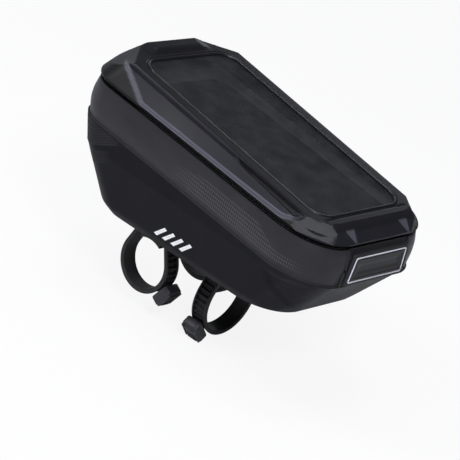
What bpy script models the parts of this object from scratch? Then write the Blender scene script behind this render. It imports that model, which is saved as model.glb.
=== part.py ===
"""Handlebar bag for a bicycle, with a phone window in its zipped lid.

Frame: origin at the middle of the base plate's underside, +X to the rider's right, +Y forward, +Z up.
All sizes are in metres.
"""
import math

import bmesh
import bpy
from mathutils import Matrix, Vector

# Clearance between pieces that touch
GAP = 0.0003

# Plan of the bag at the zip groove
HALF_WIDTH = 0.0565
Y_REAR = -0.111
Y_FRONT = 0.082
CORNER_REAR = 0.028
CORNER_REAR_RUN = 0.034
CORNER_FRONT = 0.018
CORNER_STEPS = 5
SIDE_STOPS = (0.12, 0.30, 0.50, 0.68, 0.86)

# Planes: the bottom is level, the zip groove and the lid top rise toward the front
BASE_THICK = 0.006
BAG_BOTTOM = BASE_THICK + GAP
GROOVE_HEIGHT = 0.0735
GROOVE_SLOPE = 0.1136
LID_RISE = 0.0152
LID_HEIGHT = GROOVE_HEIGHT + LID_RISE
LID_SLOPE = 0.1691

# Lower shell
SHELL_WALL = 0.0028
SHELL_DROP = 0.0237
CREASE_HEIGHT = 0.0400
CREASE_SLOPE = 0.03
CHAMFER_HEIGHT = 0.0045
RIB_DEPTH = 0.0006
RIB_COUNT = 7
RIB_START = 0.0030
RIB_PITCH = 0.0026

# How the lower shell's outline differs from the plan at four levels:
# side, rear and front outward, then what each corner gains (rear across, front, rear along)
RIM_GROW = (0.0014, 0.0022, 0.0025, 0.0014, 0.0020, 0.0014)
FOLD_GROW = (0.0010, 0.0005, -0.0025, 0.0010, 0.0030, 0.0005)
LOW_GROW = (-0.0050, -0.0195, -0.0210, 0.0, 0.0030, -0.0040)
FLOOR_GROW = (-0.0090, -0.0230, -0.0265, -0.0020, 0.0010, -0.0060)

# Fabric band that carries the zip
BAND_LIP = 0.0008
BAND_STEP = 0.0030
BAND_FOOT = 0.0234
BAND_WALL = 0.0029
LIP_WALL = 0.0010
BAND_BULGE = 0.0017

# Zip
TAPE_THICK = 0.0006
TAPE_WIDTH = 0.0090
TAPE_TOP = 0.0030
COIL_THICK = 0.0013
COIL_WIDTH = 0.0018
SLIDER_LENGTH = 0.0100
SLIDER_HEIGHT = 0.0062
SLIDER_PLATE = 0.0016
SLIDER_REACH = 0.0016
EAR_THICK = 0.0010
EAR_LENGTH = 0.0032
EAR_OUT = 0.0030
BARREL_RADIUS = 0.0012
BARREL_LENGTH = 0.0030
PULL_LENGTH = 0.0240
PULL_NECK = 0.0050
PULL_WIDTH = 0.0056
PULL_THICK = 0.0016
SLIDER_Y_REAR = -0.002
SLIDER_Y_FRONT = SLIDER_Y_REAR + SLIDER_LENGTH + 2 * GAP

# Rear panel and its label
PANEL_BULGE = 0.0036
LABEL_TOP_HALF = 0.0231
LABEL_LOW_HALF = 0.0248
LABEL_DROP = 0.0055
LABEL_HEIGHT = 0.0140
LABEL_THICK = 0.0009
PIPING_WIDTH = 0.0012
PIPING_PROUD = 0.0002

# Lid
LID_LIFT = 0.0020
LID_WALL = 0.0035
LID_ROOF = 0.0013
LID_OVERHANG = 0.0006
LID_STEP_SHARE = 0.22
SKIRT_SHARE = 0.15
STRIPE_SHARE = 0.26
SKIRT_BULGE = 0.0010
STRIPE_INSET = 0.0008
FRAME_HALF = HALF_WIDTH - 0.0090
FRAME_REAR = Y_REAR + 0.0065
FRAME_FRONT = Y_FRONT - 0.0085
FRAME_CORNER = 0.0160
TOP_BEVEL = 0.0012
TOP_DROP = 0.0014

# Window
WINDOW_HALF = 0.0400
WINDOW_REAR = -0.0950
WINDOW_FRONT = 0.0620
WINDOW_CORNER = 0.0110
REBATE = 0.0036
REBATE_DEPTH = 0.0021
FILM_THICK = 0.0006
BEZEL_WIDTH = 0.0030
BEZEL_THICK = 0.0011

# Raised block in front of the window
BLOCK_HALF = 0.0215
BLOCK_FLARE = 0.0070
BLOCK_RISE = 0.0022
BLOCK_SINK = 0.0010
BLOCK_RAMP = 0.0024

# Inside of the lid
LINER_OFFSET = -0.0042
LINER_THICK = 0.0012
LINER_LIFT = 0.0
PAD_OVERLAP = 0.0040
PAD_THICK = 0.0030
PAD_BAND_WIDTH = 0.0140
PAD_BAND_THICK = 0.0010

# Mount under the bag
BASE_HALF_WIDTH = 0.0350
BASE_REAR = -0.0360
BASE_FRONT = 0.0400
BASE_CORNER = 0.0080
BASE_CHAMFER = 0.0008
RIVET_FRONT_X = 0.0120
RIVET_FRONT_Y = 0.0330
RIVET_REAR_X = BASE_HALF_WIDTH - 0.0065
RIVET_REAR_Y = -0.0140
RIVET_SHANK = 0.0016
RIVET_HEAD = 0.0034
RIVET_HEAD_THICK = 0.0012
RIVET_CLINCH = 0.0008
RIVET_SIDES = 12
CORE_LENGTH = 0.0300
BAR_RADIUS = 0.0159
BAR_Y = 0.0200
BAR_STRAP_X = BASE_HALF_WIDTH - 0.0080
STEM_RADIUS = 0.0200
STEM_SEAT = 0.0045
STEM_Y = -0.0220
PAD_SEAT = 0.0020
PAD_HALF_LENGTH = 0.0080
PAD_DEPTH = 0.0058
STRAP_WIDTH = 0.0110
STRAP_THICK = 0.0016
STRAP_RAIL = 0.0014
STRAP_RAIL_RISE = 0.0013
STRAP_TOOTH = 0.0008
STRAP_PITCH = 0.0034
STRAP_TOP_ANGLE = 68.0
BUCKLE_LENGTH = 0.0140
BUCKLE_WIDTH = 0.0116
BUCKLE_DEPTH = 0.0085
BUCKLE_SINK = 0.0012
BUCKLE_BEVEL = 0.0016
BUCKLE_ANGLE_BAR = 122.0
BUCKLE_ANGLE_STEM = 132.0


def groove(y):
    return GROOVE_HEIGHT + GROOVE_SLOPE * y


def lid_top(y):
    return LID_HEIGHT + LID_SLOPE * y


def lid_level(share):
    """Height between the lid's lower edge (0) and its top plane (1)."""
    return lambda y: (1 - share) * (groove(y) + LID_LIFT) + share * lid_top(y)


def crease(y):
    return CREASE_HEIGHT + CREASE_SLOPE * y


def level(value):
    return lambda y: value


BODY = (HALF_WIDTH, Y_REAR, Y_FRONT, CORNER_REAR, CORNER_FRONT, CORNER_REAR_RUN)
SEAM_X = HALF_WIDTH - CORNER_REAR


def half_outline(base, offset=0.0):
    """Right half of a rounded plan outline, from the middle of the rear to the middle of the front."""
    half, rear, front, r_rear, r_front, run = base
    half, rear, front = half + offset, rear - offset, front + offset
    r_rear, r_front, run = r_rear + offset, r_front + offset, run + offset
    points = [(0.0, rear)]
    for step in range(CORNER_STEPS + 1):
        turn = math.radians(90 * step / CORNER_STEPS)
        points.append((half - r_rear + r_rear * math.sin(turn), rear + run - run * math.cos(turn)))
    low, high = rear + run, front - r_front
    points += [(half, low + stop * (high - low)) for stop in SIDE_STOPS]
    for step in range(CORNER_STEPS + 1):
        turn = math.radians(90 * step / CORNER_STEPS)
        points.append((half - r_front + r_front * math.cos(turn), front - r_front + r_front * math.sin(turn)))
    points.append((0.0, front))
    return points


def outline(base, offset=0.0):
    """Whole outline, counter-clockwise from above."""
    right = half_outline(base, offset)
    return right + [(-x, y) for x, y in reversed(right[1:-1])]


def ring(base, offset, height):
    return [Vector((x, y, height(y))) for x, y in outline(base, offset)]


def mesh_object(name, bm, surface, group, location=(0, 0, 0), smooth_angle=30.0):
    bmesh.ops.recalc_face_normals(bm, faces=bm.faces)
    mesh = bpy.data.meshes.new(name)
    bm.to_mesh(mesh)
    bm.free()
    mesh.shade_smooth()
    mesh.set_sharp_from_angle(angle=math.radians(smooth_angle))
    if surface:
        mesh.materials.append(surface)
    obj = bpy.data.objects.new(name, mesh)
    obj.location = location
    group.objects.link(obj)
    return obj


def loft(rings, closed_rings=False, caps=True, wrap=True):
    """Join rings of points with the same count by quads."""
    bm = bmesh.new()
    verts = [[bm.verts.new(p) for p in points] for points in rings]
    count = len(rings[0])
    pairs = len(rings) if closed_rings else len(rings) - 1
    for i in range(pairs):
        a, b = verts[i], verts[(i + 1) % len(rings)]
        for j in range(count if wrap else count - 1):
            k = (j + 1) % count
            bm.faces.new((a[j], a[k], b[k], b[j]))
    if caps and not closed_rings:
        bm.faces.new(verts[0])
        bm.faces.new(list(reversed(verts[-1])))
    return bm


def zip_path_indices():
    """Points of the outline from the right rear seam, round the front, to the left rear seam."""
    count = 2 * len(half_outline(BODY)) - 2
    return list(range(1, count))


def strip(profile, base=BODY):
    """Sweep a closed profile of (offset, height above the groove) along the zip's path."""
    sections = []
    for i in zip_path_indices():
        section = []
        for offset, rise in profile:
            x, y = outline(base, offset)[i]
            section.append(Vector((x, y, groove(y) + rise)))
        sections.append(section)
    return loft(sections)


def box(size, centre=(0, 0, 0), turn=None):
    bm = bmesh.new()
    bmesh.ops.create_cube(bm, size=1.0)
    bmesh.ops.scale(bm, vec=size, verts=bm.verts)
    if turn is not None:
        bmesh.ops.rotate(bm, verts=bm.verts, cent=(0, 0, 0), matrix=turn)
    bmesh.ops.translate(bm, vec=centre, verts=bm.verts)
    return bm


def cylinder(radius, length, centre=(0, 0, 0), axis="Z", sides=24):
    bm = bmesh.new()
    bmesh.ops.create_cone(bm, cap_ends=True, segments=sides, radius1=radius, radius2=radius, depth=length)
    turns = {"X": Matrix.Rotation(math.pi / 2, 3, "Y"), "Y": Matrix.Rotation(math.pi / 2, 3, "X")}
    if axis in turns:
        bmesh.ops.rotate(bm, verts=bm.verts, cent=(0, 0, 0), matrix=turns[axis])
    bmesh.ops.translate(bm, vec=centre, verts=bm.verts)
    return bm


def bevel(obj, width, segments=2, angle=40.0):
    mod = obj.modifiers.new("soft_edges", "BEVEL")
    mod.width = width
    mod.segments = segments
    mod.limit_method = "ANGLE"
    mod.angle_limit = math.radians(angle)
    mod.use_clamp_overlap = True


def combine(obj, tool, operation="DIFFERENCE"):
    mod = obj.modifiers.new(operation.lower(), "BOOLEAN")
    mod.operation = operation
    mod.solver = "EXACT"
    mod.object = tool


def cutter(name, bm, location=(0, 0, 0)):
    obj = mesh_object(name, bm, None, CUTTERS, location)
    obj.hide_render = True
    obj.display_type = "WIRE"
    return obj


def material(name, colour, roughness, metallic=0.0):
    mat = bpy.data.materials.new(name)
    mat.use_nodes = True
    shader = mat.node_tree.nodes["Principled BSDF"]
    shader.inputs["Base Color"].default_value = (*colour, 1.0)
    shader.inputs["Roughness"].default_value = roughness
    shader.inputs["Metallic"].default_value = metallic
    mat.diffuse_color = (*colour, 1.0)
    return mat


def clear_scene():
    for obj in list(bpy.data.objects):
        bpy.data.objects.remove(obj, do_unlink=True)
    for data in (bpy.data.meshes, bpy.data.materials):
        for item in list(data):
            data.remove(item)
    for name in ("bike_bag", "cutters"):
        if name in bpy.data.collections:
            bpy.data.collections.remove(bpy.data.collections[name])


def new_collection(name):
    group = bpy.data.collections.new(name)
    bpy.context.scene.collection.children.link(group)
    return group


clear_scene()
PARTS = new_collection("bike_bag")
CUTTERS = new_collection("cutters")


def empty(name, location, tilt=0.0, parent=None):
    obj = bpy.data.objects.new(name, None)
    obj.empty_display_size = 0.01
    obj.location = location
    obj.rotation_euler = (tilt, 0, 0)
    obj.parent = parent
    PARTS.objects.link(obj)
    return obj


def grown(base, grow):
    """The plan outline with each of its sizes changed by its own amount."""
    half, rear, front, r_rear, r_front, run = base
    side, back, ahead, across, round_front, along = grow
    return half + side, rear - back, front + ahead, r_rear + across, r_front + round_front, run + along


def mix(a, b, share):
    return tuple(p + (q - p) * share for p, q in zip(a, b))


def rib_weights():
    """The moulded ribs wrap the front corners and die out along the side."""
    half = len(half_outline(BODY))
    front_arc = 1 + (CORNER_STEPS + 1) + len(SIDE_STOPS)
    right = [0.0] * half
    for i in range(front_arc, front_arc + CORNER_STEPS + 1):
        right[i] = 1.0
    return right + list(reversed(right[1:-1]))


def build_lower_shell():
    levels = (RIM_GROW, FOLD_GROW, LOW_GROW, FLOOR_GROW)
    rim, fold, low, floor = [grown(BODY, grow) for grow in levels]
    rim_level = lambda y: groove(y) - SHELL_DROP
    weights = rib_weights()
    outer = [ring(rim, 0.0, rim_level)]
    for rib in range(2 * RIB_COUNT + 1):
        drop = RIB_START * 0.5 + rib * RIB_PITCH * 0.5
        share = min(drop / (RIB_COUNT * RIB_PITCH + RIB_START), 0.98)
        base = mix(rim, fold, share)
        rise = lambda y, s=share: (1 - s) * rim_level(y) + s * crease(y)
        plain = ring(base, 0.0, rise)
        proud = ring(base, RIB_DEPTH if rib % 2 else 0.0, rise)
        outer.append([a.lerp(b, w) for a, b, w in zip(plain, proud, weights)])
    outer.append(ring(fold, 0.0, crease))
    outer.append(ring(low, 0.0, level(BAG_BOTTOM + CHAMFER_HEIGHT)))
    outer.append(ring(floor, 0.0, level(BAG_BOTTOM)))
    inner = [
        ring(rim, -SHELL_WALL, rim_level),
        ring(fold, -SHELL_WALL, crease),
        ring(low, -SHELL_WALL, level(BAG_BOTTOM + CHAMFER_HEIGHT + SHELL_WALL * 0.5)),
        ring(floor, -SHELL_WALL, level(BAG_BOTTOM + SHELL_WALL)),
    ]
    bm = loft(list(reversed(inner)) + outer)
    shell = mesh_object("lower_shell", bm, material("shell_eva", (0.020, 0.020, 0.023), 0.55), PARTS)
    combine(shell, cutter("rivet_holes_shell", rivet_cores(RIVET_SHANK + GAP, BAG_BOTTOM + SHELL_WALL / 2)))
    return shell


def rivet_places():
    places = []
    for side in (-1, 1):
        places += [(side * RIVET_FRONT_X, RIVET_FRONT_Y), (side * RIVET_REAR_X, RIVET_REAR_Y)]
    return places


def rivet_cores(radius, z):
    bm = bmesh.new()
    for x, y in rivet_places():
        one = cylinder(radius, CORE_LENGTH, (x, y, z), sides=RIVET_SIDES)
        mesh = bpy.data.meshes.new("core")
        one.to_mesh(mesh)
        one.free()
        bm.from_mesh(mesh)
        bpy.data.meshes.remove(mesh)
    return bm


def build_band():
    profile = [
        (0.0, -BAND_LIP),
        (0.5 * BAND_BULGE, -BAND_FOOT * 0.22),
        (BAND_BULGE, -BAND_FOOT * 0.55),
        (BAND_BULGE * 0.8, -BAND_FOOT),
        (-BAND_WALL, -BAND_FOOT),
        (-BAND_WALL, -BAND_STEP),
        (-LIP_WALL, -BAND_STEP),
        (-LIP_WALL, -BAND_LIP),
    ]
    mesh_object("rain_flap_band", strip(profile), material("band_fabric", (0.035, 0.035, 0.038), 0.8), PARTS)


def build_zip():
    tape_face = -BAND_WALL - GAP
    tape = material("zip_tape", (0.012, 0.012, 0.013), 0.85)
    coil = material("zip_coil", (0.015, 0.015, 0.016), 0.4)
    for name, low, high in (("zip_tape_lower", -BAND_STEP - TAPE_WIDTH, -GAP / 2),
                            ("zip_tape_upper", GAP / 2, TAPE_TOP)):
        back = tape_face - TAPE_THICK
        profile = [(tape_face, high), (tape_face, low), (back, low), (back, high)]
        mesh_object(name, strip(profile), tape, PARTS)
    coil_in = tape_face + GAP
    coil_out = coil_in + COIL_THICK
    for name, low, high in (("zip_coil_lower", -COIL_WIDTH, -GAP / 2),
                            ("zip_coil_upper", GAP / 2, LID_LIFT - GAP)):
        profile = [(coil_out, high), (coil_out, low), (coil_in, low), (coil_in, high)]
        mesh_object(name, strip(profile), coil, PARTS)
    return coil_out


def joined(pieces, surface, name, location=(0, 0, 0)):
    """One body made of overlapping simple pieces."""
    first = mesh_object(name, pieces[0], surface, PARTS, location)
    for index, piece in enumerate(pieces[1:]):
        combine(first, cutter(f"{name}_add_{index}", piece, location), "UNION")
    return first


def build_slider(name, y, coil_out, direction):
    """Slider in the zip's own frame: x outward, y along the zip, z across it."""
    tilt = math.atan(GROOVE_SLOPE)
    carrier = empty(f"{name}_frame", (HALF_WIDTH, y, groove(y)), tilt)
    metal = material(f"{name}_metal", (0.03, 0.03, 0.032), 0.35, 0.9)
    neck_low = -BAND_LIP + GAP
    neck_high = LID_LIFT - GAP
    neck_in = coil_out + GAP
    plate_in = SLIDER_REACH
    plate_out = plate_in + SLIDER_PLATE
    middle = neck_high - SLIDER_HEIGHT / 2
    plate = box((SLIDER_PLATE, SLIDER_LENGTH, SLIDER_HEIGHT), ((plate_in + plate_out) / 2, 0, middle))
    neck_span = plate_in + SLIDER_PLATE / 2 - neck_in
    neck = box((neck_span, SLIDER_LENGTH * 0.6, neck_high - neck_low),
               (neck_in + neck_span / 2, 0, (neck_low + neck_high) / 2))
    pieces = [plate, neck]
    ear_z = BARREL_LENGTH / 2 + GAP + EAR_THICK / 2
    for side in (-1, 1):
        pieces.append(box((EAR_OUT + SLIDER_PLATE / 2, EAR_LENGTH, EAR_THICK),
                          (plate_out + EAR_OUT / 2 - SLIDER_PLATE / 4, 0, middle + side * ear_z)))
    slider = joined(pieces, metal, name)
    slider.parent = carrier
    for child in CUTTERS.objects:
        if child.name.startswith(f"{name}_add_"):
            child.parent = carrier
    pull_x = plate_out + 2 * GAP + BARREL_RADIUS
    pull_frame = empty(f"{name}_pull_frame", (pull_x, 0, middle), 0.0, carrier)
    barrel = cylinder(BARREL_RADIUS, BARREL_LENGTH, sides=16)
    arm = box((PULL_THICK * 0.8, PULL_NECK, BARREL_LENGTH * 0.9), (0, direction * PULL_NECK * 0.6, 0))
    tab_middle = (0, direction * (PULL_LENGTH + PULL_NECK) / 2, 0)
    tab = box((PULL_THICK, PULL_LENGTH - PULL_NECK, PULL_WIDTH), tab_middle)
    pull_name = name.replace("slider", "pull")
    pull = joined([barrel, arm, tab], material(f"{pull_name}_rubber", (0.03, 0.03, 0.032), 0.6), pull_name)
    pull.parent = pull_frame
    for child in CUTTERS.objects:
        if child.name.startswith(f"{pull_name}_add_"):
            child.parent = pull_frame


def build_rear_panel():
    """Fabric panel across the rear between the band's two ends; the lid turns about its upper edge."""
    half = SEAM_X - GAP
    profile = [
        (0.0, -BAND_LIP),
        (PANEL_BULGE * 0.75, -BAND_FOOT * 0.16),
        (PANEL_BULGE, -BAND_FOOT * 0.30),
        (PANEL_BULGE, -BAND_FOOT * 0.93),
        (PANEL_BULGE * 0.75, -BAND_FOOT),
        (-BAND_WALL, -BAND_FOOT),
        (-BAND_WALL, -BAND_STEP),
        (-LIP_WALL, -BAND_LIP),
    ]
    sections = []
    for x in (-half, half):
        sections.append([Vector((x, Y_REAR - out, groove(Y_REAR - out) + rise)) for out, rise in profile])
    mesh_object("rear_panel", loft(sections), material("rear_fabric", (0.030, 0.030, 0.033), 0.8), PARTS)


def label_corners(grow=0.0):
    top = groove(Y_REAR) - LABEL_DROP + grow
    low = top - LABEL_HEIGHT - 2 * grow
    return [(-LABEL_TOP_HALF - grow, top), (LABEL_TOP_HALF + grow, top),
            (LABEL_LOW_HALF + grow, low), (-LABEL_LOW_HALF - grow, low)]


def build_label():
    y_face = Y_REAR - PANEL_BULGE - GAP
    sections = [[Vector((x, y, z)) for x, z in label_corners()] for y in (y_face, y_face - LABEL_THICK)]
    mesh_object("label_patch", loft(sections), material("label_rubber", (0.022, 0.022, 0.025), 0.5), PARTS)
    outer = label_corners(GAP + PIPING_WIDTH)
    inner = label_corners(GAP)
    ys = (y_face, y_face - LABEL_THICK - PIPING_PROUD)
    rings = [[Vector((x, ys[0], z)) for x, z in inner], [Vector((x, ys[0], z)) for x, z in outer],
             [Vector((x, ys[1], z)) for x, z in outer], [Vector((x, ys[1], z)) for x, z in inner]]
    silver = material("piping", (0.55, 0.55, 0.6), 0.35)
    mesh_object("label_piping", loft(rings, closed_rings=True), silver, PARTS)


FRAME = (FRAME_HALF, FRAME_REAR, FRAME_FRONT, FRAME_CORNER, FRAME_CORNER, FRAME_CORNER)
WINDOW = (WINDOW_HALF, WINDOW_REAR, WINDOW_FRONT, WINDOW_CORNER, WINDOW_CORNER, WINDOW_CORNER)


def lid_plane(depth):
    return lambda y: lid_top(y) - depth


def build_lid_shell():
    rings = [
        ring(BODY, LID_OVERHANG, lid_level(0.0)),
        ring(BODY, SKIRT_BULGE, lid_level(SKIRT_SHARE)),
        ring(BODY, -STRIPE_INSET, lid_level(STRIPE_SHARE)),
        ring(FRAME, TOP_BEVEL, lid_plane(TOP_DROP)),
        ring(FRAME, 0.0, lid_plane(0.0)),
        ring(WINDOW, REBATE, lid_plane(0.0)),
        ring(WINDOW, REBATE, lid_plane(REBATE_DEPTH)),
        ring(WINDOW, 0.0, lid_plane(REBATE_DEPTH)),
        ring(WINDOW, 0.0, lid_plane(REBATE_DEPTH + LID_ROOF)),
        ring(FRAME, -LID_WALL, lid_plane(REBATE_DEPTH + LID_ROOF)),
        ring(BODY, LID_OVERHANG - LID_WALL, lid_level(LID_STEP_SHARE)),
        ring(BODY, LID_OVERHANG - LID_WALL, lid_level(0.0)),
    ]
    return mesh_object("lid_shell", loft(rings, closed_rings=True),
                       material("lid_eva", (0.024, 0.024, 0.028), 0.5), PARTS)


def build_front_block(lid):
    """Raised block on the lid's front edge, narrower at its top."""
    rear = WINDOW_FRONT + REBATE + 2 * GAP
    front = FRAME_FRONT + GAP
    steps = ((BLOCK_HALF + BLOCK_FLARE, rear, front, -BLOCK_SINK),
             (BLOCK_HALF, rear + BLOCK_RAMP, front - BLOCK_RAMP / 2, BLOCK_RISE))
    rings = []
    for half, low, high, rise in steps:
        corners = ((-half, low), (half, low), (half, high), (-half, high))
        rings.append([Vector((x, y, lid_top(y) + rise)) for x, y in corners])
    combine(lid, cutter("front_block", loft(rings)), "UNION")


def build_window():
    film_low = REBATE_DEPTH - GAP
    film_high = film_low - FILM_THICK
    film = loft([ring(WINDOW, REBATE - GAP, lid_plane(depth)) for depth in (film_high, film_low)])
    mesh_object("window_film", film, material("film_clear", (0.4, 0.42, 0.45), 0.08), PARTS)
    low, high = film_high - GAP, film_high - GAP - BEZEL_THICK
    rings = [ring(WINDOW, REBATE - GAP, lid_plane(low)), ring(WINDOW, REBATE - GAP, lid_plane(high)),
             ring(WINDOW, REBATE - GAP - BEZEL_WIDTH, lid_plane(high)),
             ring(WINDOW, REBATE - GAP - BEZEL_WIDTH, lid_plane(low))]
    rubber = material("bezel_rubber", (0.01, 0.01, 0.011), 0.35)
    mesh_object("window_bezel", loft(rings, closed_rings=True), rubber, PARTS)


def groove_plane(rise):
    return lambda y: groove(y) + rise


def build_lid_inside():
    low, high = LINER_LIFT, LINER_LIFT + LINER_THICK
    rings = [ring(BODY, LINER_OFFSET, groove_plane(low)), ring(BODY, LINER_OFFSET, groove_plane(high)),
             ring(WINDOW, 0.0, groove_plane(high)), ring(WINDOW, 0.0, groove_plane(low))]
    lining = material("liner", (0.03, 0.03, 0.03), 0.9)
    mesh_object("lid_liner", loft(rings, closed_rings=True), lining, PARTS)
    pad_high = low - GAP
    pad_low = pad_high - PAD_THICK
    pad = loft([ring(WINDOW, PAD_OVERLAP, groove_plane(rise)) for rise in (pad_high, pad_low)])
    mesh_object("phone_pad", pad, material("pad_foam", (0.02, 0.02, 0.02), 0.95), PARTS)
    elastic = material("elastic", (0.02, 0.02, 0.022), 0.8)
    high = pad_low - GAP
    for name, share in (("pad_band_front", 0.75), ("pad_band_rear", 0.25)):
        y = WINDOW_REAR + share * (WINDOW_FRONT - WINDOW_REAR)
        half = WINDOW_HALF + PAD_OVERLAP
        sections = []
        for x in (-half, half):
            sections.append([Vector((x, y + dy, groove(y + dy) + high - dz)) for dy, dz in
                             ((-PAD_BAND_WIDTH / 2, 0), (PAD_BAND_WIDTH / 2, 0),
                              (PAD_BAND_WIDTH / 2, PAD_BAND_THICK), (-PAD_BAND_WIDTH / 2, PAD_BAND_THICK))])
        mesh_object(name, loft(sections), elastic, PARTS)


BASE = (BASE_HALF_WIDTH, BASE_REAR, BASE_FRONT, BASE_CORNER, BASE_CORNER, BASE_CORNER)


def build_base():
    plate = loft([ring(BASE, -BASE_CHAMFER, level(0.0)), ring(BASE, 0.0, level(BASE_CHAMFER)),
                  ring(BASE, 0.0, level(BASE_THICK))])
    plate = mesh_object("base_plate", plate, material("base_plastic", (0.018, 0.018, 0.02), 0.45), PARTS)
    combine(plate, cutter("rivet_holes_base", rivet_cores(RIVET_SHANK + GAP, BASE_THICK / 2)))
    low, high = -GAP, BAG_BOTTOM + SHELL_WALL + GAP
    profile = [(RIVET_HEAD * 0.6, low - RIVET_HEAD_THICK), (RIVET_HEAD, low - RIVET_HEAD_THICK * 0.5),
               (RIVET_HEAD, low), (RIVET_SHANK, low), (RIVET_SHANK, high), (RIVET_HEAD, high),
               (RIVET_HEAD * 0.8, high + RIVET_CLINCH)]
    steel = material("rivet_steel", (0.05, 0.05, 0.05), 0.4, 0.9)
    for index, (x, y) in enumerate(rivet_places()):
        rings = [[Vector((r * math.cos(t), r * math.sin(t), z))
                  for t in (2 * math.pi * k / RIVET_SIDES for k in range(RIVET_SIDES))] for r, z in profile]
        mesh_object(f"base_rivet_{index + 1}", loft(rings), steel, PARTS, (x, y, 0))


def strap_path(radius, centre_z):
    """Line of a strap's inner face, as (across, height): down one side, under the tube and up the other."""
    top = math.radians(STRAP_TOP_ANGLE)
    end_z = -GAP - STRAP_THICK
    y0, z0 = radius * math.sin(top), centre_z + radius * math.cos(top)
    run = (end_z - z0) / math.sin(top)
    y_end = y0 - run * math.cos(top)
    length = 2 * (math.pi - top) * radius + 2 * run
    steps = 2 * int(length / STRAP_PITCH)
    points = []
    for i in range(steps + 1):
        s = length * i / steps
        t = length - s
        if s < run:
            points.append((y_end + s * math.cos(top), end_z - s * math.sin(top)))
        elif t < run:
            points.append((-y_end - t * math.cos(top), end_z - t * math.sin(top)))
        else:
            turn = top + (s - run) / radius
            points.append((radius * math.sin(turn), centre_z + radius * math.cos(turn)))
    return points


def build_strap(name, radius, centre_z, centre, along_x):
    """Rubber strap with raised edges and cross teeth, looped under the base plate."""
    points = strap_path(radius, centre_z)
    half = STRAP_WIDTH / 2
    sections = []
    last = len(points) - 1
    for i, (a, z) in enumerate(points):
        ahead = points[min(i + 1, last)]
        behind = points[max(i - 1, 0)]
        tangent = Vector((ahead[0] - behind[0], ahead[1] - behind[1])).normalized()
        out = Vector((-tangent.y, tangent.x))
        if out.dot(Vector((a, z - centre_z))) < 0:
            out = -out
        tooth = STRAP_TOOTH if i % 2 and 2 < i < last - 2 else 0.0
        rail = STRAP_THICK + STRAP_RAIL_RISE
        floor = STRAP_THICK + tooth
        profile = [(-half, 0), (half, 0), (half, rail), (half - STRAP_RAIL, rail), (half - STRAP_RAIL, floor),
                   (-half + STRAP_RAIL, floor), (-half + STRAP_RAIL, rail), (-half, rail)]
        section = []
        for across, depth in profile:
            b, h = a + out.x * depth, min(z + out.y * depth, -GAP)
            place = (across, b, h) if along_x else (b, across, h)
            section.append(Vector(place))
        sections.append(section)
    bm = loft(sections)
    return mesh_object(name, bm, material(f"{name}_rubber", (0.018, 0.018, 0.02), 0.55), PARTS, centre)


def build_buckle(name, radius, centre_z, centre, angle, along_x):
    """Rounded block on the outside of a strap, hollowed to the strap's curve."""
    seat = radius + STRAP_THICK + STRAP_RAIL_RISE + GAP
    turn = math.radians(angle)
    reach = seat + BUCKLE_DEPTH / 2 - BUCKLE_SINK
    across, rise = -reach * math.sin(turn), centre_z + reach * math.cos(turn)
    if along_x:
        size = (BUCKLE_WIDTH, BUCKLE_DEPTH, BUCKLE_LENGTH)
        rotation = Matrix.Rotation(turn - math.pi / 2, 3, "X")
        place = (0, across, rise)
    else:
        size = (BUCKLE_DEPTH, BUCKLE_WIDTH, BUCKLE_LENGTH)
        rotation = Matrix.Rotation(math.pi / 2 - turn, 3, "Y")
        place = (across, 0, rise)
    plastic = material(f"{name}_plastic", (0.03, 0.03, 0.034), 0.5)
    block = mesh_object(name, box(size, place, rotation), plastic, PARTS, centre)
    bevel(block, BUCKLE_BEVEL, 3)
    axis = "X" if along_x else "Y"
    core = cylinder(seat, CORE_LENGTH, (0, 0, centre_z), axis, sides=48)
    combine(block, cutter(f"{name}_seat", core, centre))


def build_cradle(name, radius, centre_z, centre, along_x):
    """Rubber saddle under the base plate, hollowed to the tube that it sits on."""
    depth = PAD_DEPTH
    sizes = (STRAP_WIDTH, 2 * PAD_HALF_LENGTH)
    size = (*sizes, depth) if along_x else (*reversed(sizes), depth)
    rubber = material(f"{name}_rubber", (0.02, 0.02, 0.02), 0.8)
    pad = mesh_object(name, box(size, (0, 0, -GAP - depth / 2)), rubber, PARTS, centre)
    axis = "X" if along_x else "Y"
    core = cylinder(radius, CORE_LENGTH, (0, 0, centre_z), axis, sides=48)
    combine(pad, cutter(f"{name}_seat", core, centre))


def build_mount():
    build_base()
    bar_z = -PAD_SEAT - BAR_RADIUS
    stem_z = -STEM_SEAT - STEM_RADIUS
    for side, x in (("left", -BAR_STRAP_X), ("right", BAR_STRAP_X)):
        centre = (x, BAR_Y, 0)
        build_strap(f"bar_strap_{side}", BAR_RADIUS + GAP, bar_z, centre, True)
        build_buckle(f"bar_buckle_{side}", BAR_RADIUS + GAP, bar_z, centre, BUCKLE_ANGLE_BAR, True)
        build_cradle(f"bar_cradle_{side}", BAR_RADIUS, bar_z, centre, True)
    centre = (0, STEM_Y, 0)
    build_strap("stem_strap", STEM_RADIUS + GAP, stem_z, centre, False)
    build_buckle("stem_buckle", STEM_RADIUS + GAP, stem_z, centre, BUCKLE_ANGLE_STEM, False)
    build_cradle("stem_cradle", STEM_RADIUS, stem_z, centre, False)


def build_all():
    build_lower_shell()
    build_band()
    coil_out = build_zip()
    build_slider("slider_front", SLIDER_Y_FRONT, coil_out, 1)
    build_slider("slider_rear", SLIDER_Y_REAR, coil_out, -1)
    build_rear_panel()
    build_label()
    build_front_block(build_lid_shell())
    build_window()
    build_lid_inside()
    build_mount()


build_all()
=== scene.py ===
import math

import bmesh
import bpy
import numpy as np
from mathutils import Matrix, Vector


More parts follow.
